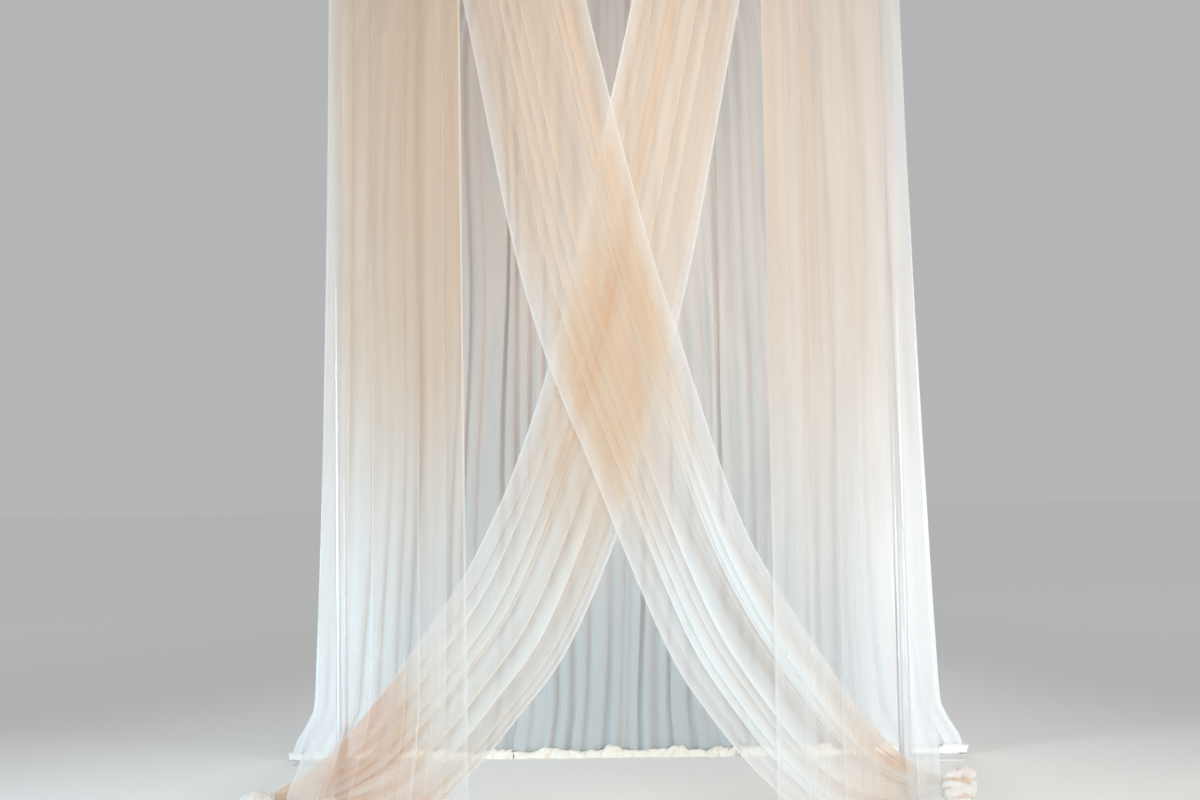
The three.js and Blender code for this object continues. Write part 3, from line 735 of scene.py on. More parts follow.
def crown_head(corner):
    x, y = upright_line(corner)
    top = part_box(f"crown_{corner}")[1].z
    crown = turned(f"crown_head_{corner}", crown_outline(), (x, y, top - CROWN_HEIGHT), (x, y, top),
                   casting, f"crown_{corner}", "lock_casting")
    turn = -math.copysign(CROWN_TURN, x)
    for size in ((SLOT_LENGTH, SLOT_WIDTH, SLOT_HEIGHT), (SLOT_WIDTH, SLOT_LENGTH, SLOT_HEIGHT)):
        joined(crown, block(size, Vector((x, y, top)), turn), "DIFFERENCE")


for corner in CORNERS:
    slip_lock(corner)
    crown_head(corner)
print("locks and crowns", 2 * len(CORNERS))

# %% [markdown]
# Each crossbar is a wide tube with a narrower one inside it, and each ends in a flat hook that
# drops into the crown. Both slide, so one set of bars fits several widths. Only the ends show,
# where the cloth stops, so the hook is a plain tongue joined to the tube's closed end.

# %% crossbars
BAR_TUBES = (("outer", 0.0222), ("inner", 0.0199))
BAR_WALL = 0.002
BAR_CLOSED = 0.01
# Distances from the upright's line: where the tube starts, and where its hook does
BAR_START = 0.036
HOOK_START = 0.014
HOOK_LENGTH = 0.030
HOOK_WIDTH = 0.005
HOOK_HEIGHT = 0.0037
HOOK_DROP = 0.008
HOOK_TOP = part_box(f"crown_{CORNERS[0]}")[1].z - HOOK_DROP


def bar_line(side, part):
    """The upright that a crossbar's tube starts from, its direction and how far it reaches."""
    low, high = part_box(f"crossbar_{side}_{part}_tube")
    z = middle(f"crossbar_{side}_outer_tube").z
    ends = [name for name in CORNERS if side in name.split("_")]
    first, last = (Vector((*upright_line(name), z)) for name in ends)
    if part == "inner":
        first, last = last, first
    direction = (last - first).normalized()
    extent = max((high - low).x, (high - low).y)
    reach = extent / max(abs(direction.x), abs(direction.y))
    return first, direction, reach


def bar_outline(radius, length):
    """A tube that is closed at its hooked end and open at the other."""
    bore, lip = radius - BAR_WALL, radius - TUBE_CHAMFER
    return [(CORE, 0), (radius - BAR_WALL, 0), (radius, BAR_WALL), (radius, length - TUBE_CHAMFER),
            (lip, length), (bore, length), (bore, BAR_CLOSED), (CORE, BAR_CLOSED), (CORE, 0)]


for side in ("front", "back", "left", "right"):
    for part, radius in BAR_TUBES:
        first, direction, reach = bar_line(side, part)
        start = first + direction * BAR_START
        outline = bar_outline(radius, reach - (BAR_START - HOOK_START))
        bar = turned(f"bar_{side}_{part}", outline, start, start + direction, bar_metal,
                     f"crossbar_{side}_{part}_tube", "tube_aluminium")
        hook_place = first + direction * (HOOK_START + HOOK_LENGTH / 2)
        hook_place.z = HOOK_TOP - HOOK_HEIGHT / 2
        bearing = math.atan2(direction.y, direction.x)
        joined(bar, block((HOOK_LENGTH, HOOK_WIDTH, HOOK_HEIGHT), hook_place, bearing), "UNION")
print("crossbar tubes", 4 * len(BAR_TUBES))

# %% [markdown]
# A base plate is a square of steel with rounded corners and a spigot for the upright. A bevel
# round its edge catches the light, and a weld bead runs round the spigot's foot. The whole of it is
# one grid of rings, first squares with rounded corners and then circles.

# %% base plates
PLATE_HALF = 0.305
PLATE_THICK = 0.00635
PLATE_ROUND = 0.030
PLATE_BEVEL = 0.0012
CORNER_STEPS = 8
# The rings of the plate: half its side, its corners' radius and its height
PLATE_RINGS = (
    (0.001, 0.0009, 0), (PLATE_HALF - PLATE_BEVEL, PLATE_ROUND, 0),
    (PLATE_HALF, PLATE_ROUND, PLATE_BEVEL), (PLATE_HALF, PLATE_ROUND, PLATE_THICK - PLATE_BEVEL),
    (PLATE_HALF - PLATE_BEVEL, PLATE_ROUND, PLATE_THICK),
)
SPIGOT_RADIUS = 0.0231
SPIGOT_HEIGHT = 0.2
# The circles on it, the weld bead first: their radius and their height above the plate
SPIGOT_RINGS = (
    (0.0275, 0), (0.0262, 0.0026), (0.0238, 0.0036), (SPIGOT_RADIUS, 0.0045),
    (SPIGOT_RADIUS, SPIGOT_HEIGHT - 0.002), (0.021, SPIGOT_HEIGHT), (CORE, SPIGOT_HEIGHT),
)


def rounded_square(half, radius, z):
    points = []
    for quarter, (sx, sy) in enumerate(((1, 1), (-1, 1), (-1, -1), (1, -1))):
        for step in range(CORNER_STEPS + 1):
            angle = (quarter + step / CORNER_STEPS) * math.pi / 2
            points.append((sx * (half - radius) + radius * math.cos(angle),
                           sy * (half - radius) + radius * math.sin(angle), z))
    return points


plate_rings = [rounded_square(*ring) for ring in PLATE_RINGS]
bearings = [math.atan2(y, x) for x, y, _ in plate_rings[0]]
for radius, height in SPIGOT_RINGS:
    plate_rings.append([(radius * math.cos(bearing), radius * math.sin(bearing), PLATE_THICK + height)
                        for bearing in bearings])
for corner in CORNERS:
    points = np.array(plate_rings) + np.array((*upright_line(corner), 0))
    plate = mesh_from_grids(f"plate_{corner}", [points], powder_coat, closed_loops=True)
    plate.data.set_sharp_from_angle(angle=SHARP_EDGE)
    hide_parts(f"base_plate_{corner}")
print("base plates", len(CORNERS))

# %% [markdown]
# Real folds are never even. Each has its own width and depth, and a pleat leans to one side: the
# cloth runs forward, turns back under itself and runs on. In one row of points that is a place
# across the sheet that sometimes runs backwards, with a depth that swings a quarter turn out of
# step. A sheet wider than its place has to overlap more, so the overlap grows where it is gathered.

# %% uneven pleats
# How far a close pleat is pinched at its root, and how uneven its height is
PINCH = 0.105
UNEVEN_HEIGHT = 0.2


def drift(t, seed, waves=4):
    """A smooth uneven curve of about -1 to 1 over t."""
    random = np.random.default_rng(seed)
    total = np.zeros(np.shape(t))
    for wave in range(1, waves + 1):
        turn = random.uniform(0, 2 * math.pi)
        total = total + np.sin(2 * math.pi * wave * t * random.uniform(0.7, 1.3) + turn) / wave
    return total / sum(1 / wave for wave in range(1, waves + 1)) * 1.4


def pleats(columns, count, seed, evenness=0.5, least=0.08, turned=0.25):
    """Even steps across a sheet, with the turn of its pleats and their strength at each."""
    t = np.linspace(0, 1, columns)
    turn = 2 * math.pi * (count * t + evenness * drift(t * count / 5, seed))
    strength = np.clip(0.5 + least / 2 + 0.6 * drift(t * count / 3, seed + 1), least, 1.1)
    lean = np.tanh(3 * (drift(t * count / 9, seed + 2, 2) + turned))
    ends = smooth(t * count * 0.6) * smooth((1 - t) * count * 0.6)
    return t, turn, strength * lean * ends


def pleated_rows(pattern, count, overlap, depth, sway, roundness=0.0):
    """For rows with the given overlap and depth: the place across, the depth and the ridges."""
    t, turn, strength = pattern
    swayed = turn[None, :] + sway
    shift = overlap[:, None] * strength[None, :] * np.sin(swayed) / (2 * math.pi * count)
    bulge = strength[None, :] * (np.sin(swayed + 0.5) - roundness * np.cos(swayed))
    return t[None, :] + shift, depth[:, None] * bulge, 0.5 - 0.4 * bulge


def hollow_pleats(columns, count, seed):
    """Close pleats of a heavier cloth, pinched at their roots: place across and depth."""
    t = np.linspace(0, 1, columns)
    inside = smooth(12 * t * (1 - t))
    turn = 2 * math.pi * (count * t + 0.25 + 0.25 * drift(t * count / 4, seed) * inside)
    height = 1 - UNEVEN_HEIGHT + UNEVEN_HEIGHT * drift(t * count / 2, seed + 1)
    pinch = PINCH * np.sin(2 * turn) / count * height
    return t, pinch, np.cos(turn) * height


print("pleat sample", np.round(pleats(5, 3, 1)[2], 2))

# %% [markdown]
# A rod pocket is a channel sewn along the top of a curtain. The bar slides through it and bunches
# the cloth into small gathers, which open into deeper folds as the cloth falls. So each hanging
# sheet here starts behind the bar, passes over it and then falls from its front.

# %% hanging sheets
BAR_Z = middle("crossbar_front_outer_tube").z
FRONT_Y = middle("upper_upright_front_left").y
BACK_Y = middle("upper_upright_back_left").y
POCKET_RADIUS = 0.0275
POCKET_ROWS = 16
POCKET_FROM = math.radians(-165)
POCKET_TO = math.radians(85)
GATHERS = 44
GATHER_DEPTH = 0.0016
# The height where a fall starts, just under the bar's middle, and how much closer its rows lie
# there than at the floor
FALL_FROM = BAR_Z - 0.02
ROW_CROWDING = 1.1


def pocket_grid(start, end, across, bar_y, seed):
    """The channel round the bar, from x = start to end at shares across, in small gathers."""
    angle = np.linspace(POCKET_FROM, POCKET_TO, POCKET_ROWS)[:, None]
    t = np.linspace(0, 1, len(across))
    gather = GATHER_DEPTH * np.sin(2 * math.pi * GATHERS * t + 3 * drift(t * 2, seed))
    radius = POCKET_RADIUS + gather[None, :] + 0 * angle
    x = np.broadcast_to(lerp(start, end, across)[None, :], radius.shape)
    return np.stack([x, bar_y - radius * np.sin(angle), BAR_Z + radius * np.cos(angle)], axis=-1)


def with_pocket(ridge):
    """Ridge values for a whole sheet: the rows in the pocket are neither valley nor ridge."""
    return np.concatenate([np.full((POCKET_ROWS, ridge.shape[1]), 0.5), ridge])


def hung(pocket, fall, settle):
    """Joins a pocket to the fall below it: the fall has its own place within settle metres."""
    start = pocket[-1]
    down = smooth((start[None, :, 2] - fall[..., 2]) / settle)[..., None]
    fall = np.concatenate([lerp(start[None, :, :2], fall[..., :2], down), fall[..., 2:]], axis=-1)
    return np.concatenate([pocket, fall])


def hung_edge(bar, fall, foot, hem, z, flare_height):
    """Where an edge lies at height z: it spreads below the bar, slopes out and flares low down."""
    fallen = (BAR_Z - z) / BAR_Z
    flared = lerp(lerp(fall, foot, fallen ** 1.5), hem, smooth(1 - z / flare_height))
    return lerp(bar, flared, smooth(8 * fallen))


print("bar height", round(BAR_Z, 3), "front", round(FRONT_Y, 3))

# %% [markdown]
# The back curtain is three opaque panels on the back bar. Its pleats are close and nearly even,
# because the cloth is gathered on the rod and is heavy enough to fall straight. It flares towards
# the floor, where its hem lies in a crumpled heap.

# %% back curtain
PANELS = ("left", "centre", "right")
# The x of each edge of the panels: on the bar, below it, where its slope ends and at the hem
PANEL_EDGES = (
    (-1.484, -1.63, -1.76, -1.88), (-0.497, -0.543, -0.59, -0.627),
    (0.497, 0.543, 0.59, 0.627), (1.484, 1.63, 1.76, 1.88),
)
CURTAIN_PLEATS = 12
CURTAIN_COLUMNS = CURTAIN_PLEATS * 16
CURTAIN_ROWS = 60
CURTAIN_Y = BACK_Y - 0.065
CURTAIN_DEPTH = 0.010
CURTAIN_WANDER = 0.006
CURTAIN_SWAY = 0.3
CURTAIN_SETTLE = 0.3
CURTAIN_FLARE = 0.3
CURTAIN_FOOT = 0.012
LAP = 0.008


def curtain_grid(left, right, lap, seed):
    """One panel; lap moves its side edges over (x) and in front of (y) its neighbour's."""
    t, pinch, depth = hollow_pleats(CURTAIN_COLUMNS, CURTAIN_PLEATS, seed)
    v = np.linspace(0, 1, CURTAIN_ROWS)[1:, None] ** ROW_CROWDING
    sway = CURTAIN_SWAY * drift(v * 0.8 + t[None, :] * 0.4, seed + 5, 2) / CURTAIN_PLEATS
    swaying = smooth(v * 3) * smooth(9 * t) * smooth(9 - 9 * t)
    across = t[None, :] + pinch[None, :] + sway * swaying
    z = lerp(FALL_FROM, CURTAIN_FOOT, v)
    left_edge, right_edge = (hung_edge(*edge, z, CURTAIN_FLARE) for edge in (left, right))
    x = lerp(left_edge - lap, right_edge + lap, across)
    aside = smooth(1 - 6 * t * (1 - t)) * (lap - LAP / 2)
    wander = CURTAIN_WANDER * drift(t[None, :] * 2 + v, seed + 9, 3)
    y = CURTAIN_Y + CURTAIN_DEPTH * depth[None, :] + wander
    pocket = pocket_grid(left[0], right[0], t + pinch, BACK_Y, seed)
    fall = np.stack([x, y - aside[None, :], np.broadcast_to(z, x.shape)], axis=-1)
    return hung(pocket, fall, CURTAIN_SETTLE)


for i, side in enumerate(PANELS):
    lap = LAP if side == "centre" else 0
    grid = curtain_grid(PANEL_EDGES[i], PANEL_EDGES[i + 1], lap, 40 + 3 * i)
    curtain = mesh_from_grids(f"curtain_{side}", [grid], curtain_cloth)
    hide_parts(f"back_curtain_{side}")
    bar = "inner" if side == "right" else "outer"
    print("curtain", side, "flat", cloth_size(grid))

# %% [markdown]
# The hem of the back curtain is longer than the fall, so its end lies on the floor in a low heap
# of small folds. A cross section of the heap is one curve: out from the curtain's foot, over a
# rounded top and down to a turned edge. Noise along it crumples the folds.

# %% crumpled hem
HEM_COLUMNS = 420
HEM_ROWS = 20
HEM_LOBE = 0.11
HEM_TOP = 0.064
HEM_REACH = 0.052
HEM_CRUMPLE = 0.014
HEM_SEAM = 0.002
HEM_BACK = CURTAIN_Y - 0.004
# How far the heap is lifted: just off the floor in the middle, and on the base plates aside
FLOOR_LIFT = 0.0001
PLATE_LIFT = 0.0066
PLATE_EDGE = 1.16
PLATE_RAMP = 0.05


def lobes(x, s, seed, width, sharpness=0.8):
    """Rounded bulges of about the given width, with creases between them; 0 to 1."""
    wander = 0.9 * drift(x / (7 * width), seed, 4) + 0.5 * drift(x / (3 * width) + 0.9 * s, seed + 1, 3)
    return np.abs(np.sin(math.pi * x / width + wander)) ** sharpness


def plate_lift(x):
    """How far the heap is lifted at x: it lies on the base plates at both sides."""
    return lerp(FLOOR_LIFT, PLATE_LIFT, smooth((np.abs(x) - PLATE_EDGE) / PLATE_RAMP))


def hem_grid(left, right, seed):
    t = np.linspace(0, 1, HEM_COLUMNS)[None, :]
    s = np.linspace(0, 1, HEM_ROWS)[:, None]
    x = lerp(left, right, t) + 0 * s
    lift = plate_lift(x)
    big = lobes(x, s, seed, HEM_LOBE)
    small = lobes(x + 0.05 * s, s, seed + 4, 0.45 * HEM_LOBE, 1.0)
    height = (HEM_TOP - lift) * (0.6 + 0.25 * drift(x / 0.4, seed + 7, 4) + 0.1 * big)
    angle = lerp(0.0, math.pi, s)
    bulge = 0.8 + 0.2 * big + 0.08 * (small - 0.5)
    forward = HEM_REACH * bulge * (0.85 + 0.15 * drift(x / 0.3, seed + 9, 3))
    y = HEM_BACK - forward * (1 - np.cos(angle)) * 0.62
    z = lift + height * np.sin(angle) ** 0.75 * (0.86 + 0.14 * small * np.sin(angle))
    x = x + HEM_CRUMPLE * drift(x / 0.09 + 1.5 * s, seed + 3, 3) * np.sin(angle)
    return np.stack([x, y, np.clip(z, lift, HEM_TOP + 0.004)], axis=-1)


for i, side in enumerate(PANELS):
    left, right = PANEL_EDGES[i][3] + HEM_SEAM, PANEL_EDGES[i + 1][3] - HEM_SEAM
    grid = hem_grid(left, right, 60 + i)
    heap = mesh_from_grids(f"hem_{side}", [grid], hem_cloth)
    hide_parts(f"back_hem_{side}")
    print("hem", side, "flat", cloth_size(grid))

# %% [markdown]
# Two sheers hang at the sides of the front, ahead of the crossed ones. They are light, so their
# folds are soft and shallow: wide flat bands between narrow overlaps, which show as denser stripes.
# Along the outer edge the cloth is folded back, so a second layer lies close behind the first.

# %% side sheers
SIDE_PLEATS = 7
SIDE_COLUMNS = SIDE_PLEATS * 26
SIDE_ROWS = 120
SIDE_PLANE = FRONT_Y - 0.072
SIDE_OVERLAP = 1.6
SIDE_DEPTH = 0.012
SIDE_ROUNDNESS = 0.6
SIDE_SWAY = 0.5
SIDE_WANDER = 0.006
SIDE_SETTLE = 0.5
# The distance of each edge from the middle: on the bar, below it, where its slope ends, at the hem
SIDE_INNER = (0.847, 0.665, 0.66, 0.66)
SIDE_OUTER = {"left": (1.184, 1.236, 1.326, 1.49), "right": (1.184, 1.262, 1.352, 1.362)}
SIDE_FLARE = 0.62
# How much painted warm light each side sheer carries
SIDE_WARMTH = {"left": 1.1, "right": 0.7}
SIDE_FOOT = 0.0075
RETURN_COLUMNS = 40
RETURN_GAP = 0.006
SIDE_HEM_COLUMNS = 4


def side_grid(side, outer, seed):
    pattern = pleats(SIDE_COLUMNS, SIDE_PLEATS, seed)
    v = np.linspace(0, 1, SIDE_ROWS)[1:] ** ROW_CROWDING
    sway = SIDE_SWAY * drift(v[:, None] * 0.6 + pattern[0][None, :], seed + 5, 2)
    overlap, deep = np.full(len(v), SIDE_OVERLAP), np.full(len(v), SIDE_DEPTH)
    across, depth, ridge = pleated_rows(pattern, SIDE_PLEATS, overlap, deep, sway, SIDE_ROUNDNESS)
    v = v[:, None]
    z = lerp(FALL_FROM, SIDE_FOOT, v)
    x = side * lerp(hung_edge(*SIDE_INNER, z, SIDE_FLARE), hung_edge(*outer, z, SIDE_FLARE), across)
    y = SIDE_PLANE + depth + SIDE_WANDER * drift(pattern[0][None, :] * 2 - v, seed + 6, 3)
    pocket = pocket_grid(side * SIDE_INNER[0], side * outer[0], across[0], FRONT_Y, seed)
    fall = np.stack([x, y, np.broadcast_to(z, x.shape)], axis=-1)
    return hung(pocket, fall, SIDE_SETTLE), with_pocket(ridge)


def side_warmth(points, most, seed):
    """Painted warm light at the top, and less of it at the outer edge, where daylight comes in."""
    x, z = np.abs(points[..., 0]), points[..., 2]
    streaks = 0.12 * drift(x * 4, seed, 4)
    aside = lerp(0.4, 1.0, smooth((1.25 - x) / 0.12))
    rising = smooth((z - 0.5) / 2.0)
    return np.minimum(FULL_WARMTH * most * rising * (1 + streaks) * aside, FULL_WARMTH)


for name, side, bar in (("left", -1, "outer"), ("right", 1, "inner")):
    grid, ridge = side_grid(side, SIDE_OUTER[name], 70 + 9 * side)
    folded_back = grid[:, -RETURN_COLUMNS:] + (0, RETURN_GAP, 0)
    grids = [grid, folded_back, *hem_strips(grid, SIDE_HEM_COLUMNS)]
    sheer = mesh_from_grids(f"sheer_{name}", grids, side_voile, ridge=ridge,
                            warmth=side_warmth(grid, SIDE_WARMTH[name], 75 + side))
    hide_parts(f"side_sheer_{name}")
    print("side sheer", name, "flat", cloth_size(grid))

# %% [markdown]
# The two crossed sheers make the X. Each hangs from its own part of the front bar, is drawn across
# and is tied at the foot of the opposite upright. A cloth simulation would find its own curves, so
# the two edges are drawn as curves through points instead, and the sheet goes between them.

# %% edges of the crossed sheers
# Edge points are (x, z) pairs from the bar to the neck at the tie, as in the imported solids
NECK = {"left": (-1.515, 0.172), "right": (1.375, 0.205)}
NECK_HALF = 0.04


def neck_edge(name, side):
    return NECK[name][0], NECK[name][1] + side * NECK_HALF


FRONT_LOWER = [(-0.83, 4.54), (-0.64, 3.6), (-0.45, 2.6), (-0.302, 2.07), (-0.119, 1.6),
               (0.04, 1.19), (0.225, 0.76), (0.402, 0.489), (0.593, 0.259), (0.8, 0.095),
               (1.09, 0.062), neck_edge("right", -1)]
FRONT_UPPER = [(-0.28, 4.54), (-0.09, 3.6), (0.15, 2.6), (0.3, 2.1), (0.44, 1.63), (0.56, 1.3),
               (0.69, 1.06), (0.85, 0.8), (0.985, 0.59), (1.12, 0.42), (1.245, 0.31),
               neck_edge("right", 1)]
REAR_LOWER = [(0.765, 4.54), (0.565, 3.6), (0.365, 2.6), (0.23, 2.06), (0.095, 1.62),
              (-0.02, 1.26), (-0.234, 0.797), (-0.448, 0.516), (-0.65, 0.285), (-0.87, 0.11),
              (-1.2, 0.055), neck_edge("left", -1)]
REAR_UPPER = [(0.275, 4.54), (0.082, 3.6), (-0.16, 2.6), (-0.294, 2.06), (-0.445, 1.62),
              (-0.57, 1.34), (-0.7, 1.1), (-0.89, 0.83), (-1.04, 0.635), (-1.19, 0.46),
              (-1.34, 0.32), neck_edge("left", 1)]


def spline(points, t):
    """A smooth curve through the points, at shares t of their number."""
    points = np.array(points)
    last = len(points) - 1
    place = np.clip(t, 0, 1) * last
    i = np.minimum(place.astype(int), last - 1)
    f = (place - i)[..., None]
    before, here = points[np.maximum(i - 1, 0)], points[i]
    there, after = points[i + 1], points[np.minimum(i + 2, last)]
    bend = 2 * before - 5 * here + 4 * there - after
    return 0.5 * (2 * here + (there - before) * f + bend * f ** 2
                  + (3 * here - before - 3 * there + after) * f ** 3)


print("edge points", len(FRONT_LOWER + FRONT_UPPER + REAR_LOWER + REAR_UPPER))

# %% [markdown]
# The pleats run along the sheet between its two edges. The sheet keeps its width, so its overlap
# grows as the edges close up, and near the neck its pleats lie closest. One sheet passes a little
# in front of the bar's plane and the other behind it, so they don't cut each other.

# %% crossed sheers
CROSSED_PLEATS = 9
CROSSED_COLUMNS = CROSSED_PLEATS * 28
CROSSED_ROWS = 190
# The overlap at the top, what is added to it past the crossing, and what is added at the neck
CROSSED_OVERLAP = (1.7, 1.5, 3.5)
# The folds' depth at the two ends, and what is added between them
CROSSED_DEPTH = (0.006, 0.012)
CROSSED_SWAY = 0.3
CROSSED_ROUNDNESS = 0.8
CROSSED_SETTLE = 0.2
CROSSED_HEM_COLUMNS = 5
NECK_Y = FRONT_Y - 0.0373


def crossed_grid(lower, upper, waist_shift, seed):
    pattern = pleats(CROSSED_COLUMNS, CROSSED_PLEATS, seed, evenness=0.7, least=0.55, turned=2)
    v = np.linspace(0, 1, CROSSED_ROWS)[1:]
    low, high = spline(lower, v), spline(upper, v)
    at_top, past_crossing, at_neck = CROSSED_OVERLAP
    overlap = at_top + past_crossing * smooth((v - 0.35) / 0.25) + at_neck * smooth((v - 0.8) / 0.2)
    gathered = smooth((v - 0.5) / 0.35)
    bulging = np.sin(math.pi * np.clip((v - 0.35) / 0.6, 0, 1))
    deep = CROSSED_DEPTH[0] + CROSSED_DEPTH[1] * bulging
    sway = CROSSED_SWAY * drift(v[:, None] * 0.5 + pattern[0][None, :] * 0.4, seed + 5, 2)
    across, depth, ridge = pleated_rows(pattern, CROSSED_PLEATS, overlap, deep, sway,
                                        CROSSED_ROUNDNESS)
    across = np.clip(across, -0.01, 1.01)
    point = low[:, None] + (high - low)[:, None] * across[..., None]
    hung_y = FRONT_Y + waist_shift * smooth(v * 5)
    y = lerp(hung_y, NECK_Y, gathered)[:, None] + depth
    pocket = pocket_grid(lower[0][0], upper[0][0], across[0], FRONT_Y, seed)
    strength = lerp(0.35, 1.0, smooth((v - 0.35) / 0.2))[:, None]
    fall = np.stack([point[..., 0], y, point[..., 1]], axis=-1)
    return hung(pocket, fall, CROSSED_SETTLE), with_pocket(0.5 + strength * (ridge - 0.5))


# Each sheer: its lower and upper edge, how far its middle lies behind the bar's plane (in front of
# it if negative), and the part of the front bar that it hangs on
CROSSED_SHEERS = {
    "front": (FRONT_LOWER, FRONT_UPPER, -0.02, "outer"),
    "rear": (REAR_LOWER, REAR_UPPER, 0.016, "inner"),
}
crossed_grids = {}
for i, (name, (lower, upper, waist_shift, _)) in enumerate(CROSSED_SHEERS.items()):
    crossed_grids[name] = crossed_grid(lower, upper, waist_shift, 90 + 11 * i)
print("crossed grids", [grid.shape[:2] for grid, _ in crossed_grids.values()])

# %% [markdown]
# The crossed sheers carry painted warm light high up, a painted warm glow where they lie over each
# other, and more painted warm light and shade down their tails. It is painted into the colour, and
# each point's tint is worked out: from its height, from its place beside the crossing, and from its
# share of the way down the sheet.

# %% tint of the crossed sheers
# The tint high up: its strength, the height where it starts, and how far up it is full
TOP_WARMTH = 0.48
TOP_FROM = 1.3
TOP_RISE = 1.6
# The tint where the sheets cross: its strength and the most it may reach, the middle of it, how
# far that leans to the right with height, and how far the tint reaches in x and z
CROSSING_WARMTH = 0.74
CROSSING_MOST = 0.64
CROSSING_X = -0.06
CROSSING_Z = 2.0
CROSSING_LEAN = 0.12
CROSSING_LEAN_FROM = 1.8
CROSSING_REACH = (0.6, 1.7)
# The tint of each tail: the pale wash, the deep part's strength, the shares of the way down where
# that starts at the lower and the upper edge, and the share over which it grows
TAIL_WARMTH = {"front": (0.1, 0.9, 0.74, 0.64, 0.3), "rear": (0.26, 1.4, 0.70, 0.64, 0.2)}


def near(points, x, z, reach_x, reach_z):
    """1 at a place on the front plane, falling softly to 0 at the given reaches; x may vary."""
    away = ((points[..., 0] - x) / reach_x) ** 2 + ((points[..., 2] - z) / reach_z) ** 2
    return smooth(1 - np.sqrt(away))


def crossed_warmth(points, tail_warmth, seed):
    """Painted warm light high up and where both sheets lie over each other, and warmest before the
    neck.
    """
    rows, columns = points.shape[:2]
    v, u = np.linspace(0, 1, rows)[:, None], np.linspace(0, 1, columns)[None, :]
    z = points[..., 2]
    top = TOP_WARMTH * smooth((z - TOP_FROM) / TOP_RISE)
    leaning = CROSSING_X + CROSSING_LEAN * (z - CROSSING_LEAN_FROM)
    crossing = CROSSING_WARMTH * near(points, leaning, CROSSING_Z, *CROSSING_REACH)
    crossing = np.minimum(crossing, CROSSING_MOST)
    wash, most, low_start, high_start, rise = tail_warmth
    start = lerp(low_start, high_start, u) + 0.02 * drift(4 * u, seed + 3, 4)
    deep = most * smooth((v - start) / rise) * lerp(0.6, 1, u)
    deep = deep * lerp(1, 0.35, smooth((v - lerp(0.92, 0.86, u)) / 0.07))
    tail = wash * smooth((v - 0.5) / 0.18) + deep
    streaks = 1 + 0.15 * drift(3 * u, seed, 4)
    edges = lerp(0.3, 1, smooth(7 * u) * smooth(7 - 7 * u))
    return (np.maximum(top, crossing) * edges + tail) * streaks


for i, (name, (grid, ridge)) in enumerate(crossed_grids.items()):
    bar = CROSSED_SHEERS[name][3]
    sheer = mesh_from_grids(f"crossed_{name}", [grid, *hem_strips(grid, CROSSED_HEM_COLUMNS)],
                            crossed_voiles[name], ridge=ridge,
                            warmth=crossed_warmth(grid, TAIL_WARMTH[name], 97 + i))
    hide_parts(f"crossed_sheer_{name}")
    print("crossed sheer", name, "flat", cloth_size(grid))

# %% [markdown]
# Beyond the neck, where a sheer is tied, the rest of its cloth opens into a puff. It could be
# crumpled by a simulation, but its frills would then fall anywhere. Here it is made of bags inside
# one another, each with an edge that waves in and out.

# %% puffs
PUFF_BALL = 0.080
PUFF_THROAT = 0.012
PUFF_WAVE = 0.018
FRILL_ROWS = 24
FRILL_COLUMNS = 240
# How much more painted warm light and shade the cloth has at the neck than at the frills' edges
HEART_WARMTH = 0.65
# The left puff hangs lower than the right one: this is added to how far its frills lean up
PUFF_DROOP = {"left": -0.65, "right": 0.0}
# Each frill: its ball's size and how far round it reaches, in degrees, then its warmth, the
# number of waves round its edge, and how far it leans forward and up
FRILLS = (
    (1.00, 118, 0.00, 9, 0.35, -0.10), (0.92, 104, 0.08, 8, 0.55, 0.12),
    (0.80, 95, 0.20, 7, 0.70, 0.25), (0.62, 88, 0.40, 6, 0.80, 0.05), (0.42, 84, 0.65, 5, 0.9, 0.2),
)


def ring_angles(columns):
    return np.linspace(0, 2 * math.pi, columns, endpoint=False)


def frill_grid(neck, size, reach, waves, forward, up, seed):
    """A bag that opens out of the neck: it follows a ball from there, and its edge waves."""
    s = np.linspace(0, 1, FRILL_ROWS)[:, None, None]
    angle = ring_angles(FRILL_COLUMNS)[None, :, None]
    turn = math.pi - s * math.radians(reach)
    wander = 1.3 * np.sin(2 * angle + seed) + 0.7 * np.sin(3 * angle + 2.3 * seed)
    petal = np.abs(np.sin(0.5 * (waves * angle + wander) + 0.4 * s * np.sin(3 * angle))) ** 0.8
    ball = PUFF_BALL * size
    waving = 0.78 + 0.42 * petal * smooth(2 * s)
    spread = PUFF_THROAT * (1 - s) + ball * np.sin(turn) * waving
    along = ball * (1 + np.cos(turn)) + PUFF_WAVE * (petal - 0.5) * s ** 2
    axis = np.array([np.sign(neck[0]), -forward, up])
    axis = axis / np.linalg.norm(axis)
    sideways = np.cross(axis, (0, 0, 1))
    sideways = sideways / np.linalg.norm(sideways)
    upwards = np.cross(sideways, axis)
    centre = np.array([neck[0], NECK_Y, neck[1]])
    grid = centre + axis * along + spread * (sideways * np.cos(angle) + upwards * np.sin(angle))
    return grid, petal[..., 0] ** 2


for name, neck in NECK.items():
    frills, petals, warm = [], [], []
    for i, (size, reach, warmth, waves, forward, up) in enumerate(FRILLS):
        up += PUFF_DROOP[name]
        grid, petal = frill_grid(neck, size, reach, waves, forward, up, 3 + 2 * i)
        heart = HEART_WARMTH * np.linspace(1, 0, len(grid))[:, None] ** 2
        frills.append(grid)
        petals.append(petal)
        warm.append(np.maximum(warmth, heart) + 0 * petal)
    puff = mesh_from_grids(f"puff_{name}", frills, tail_voile, closed_loops=True,
                           warmth=np.concatenate(warm), ridge=np.concatenate(petals))
    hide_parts(f"rosette_{name}")

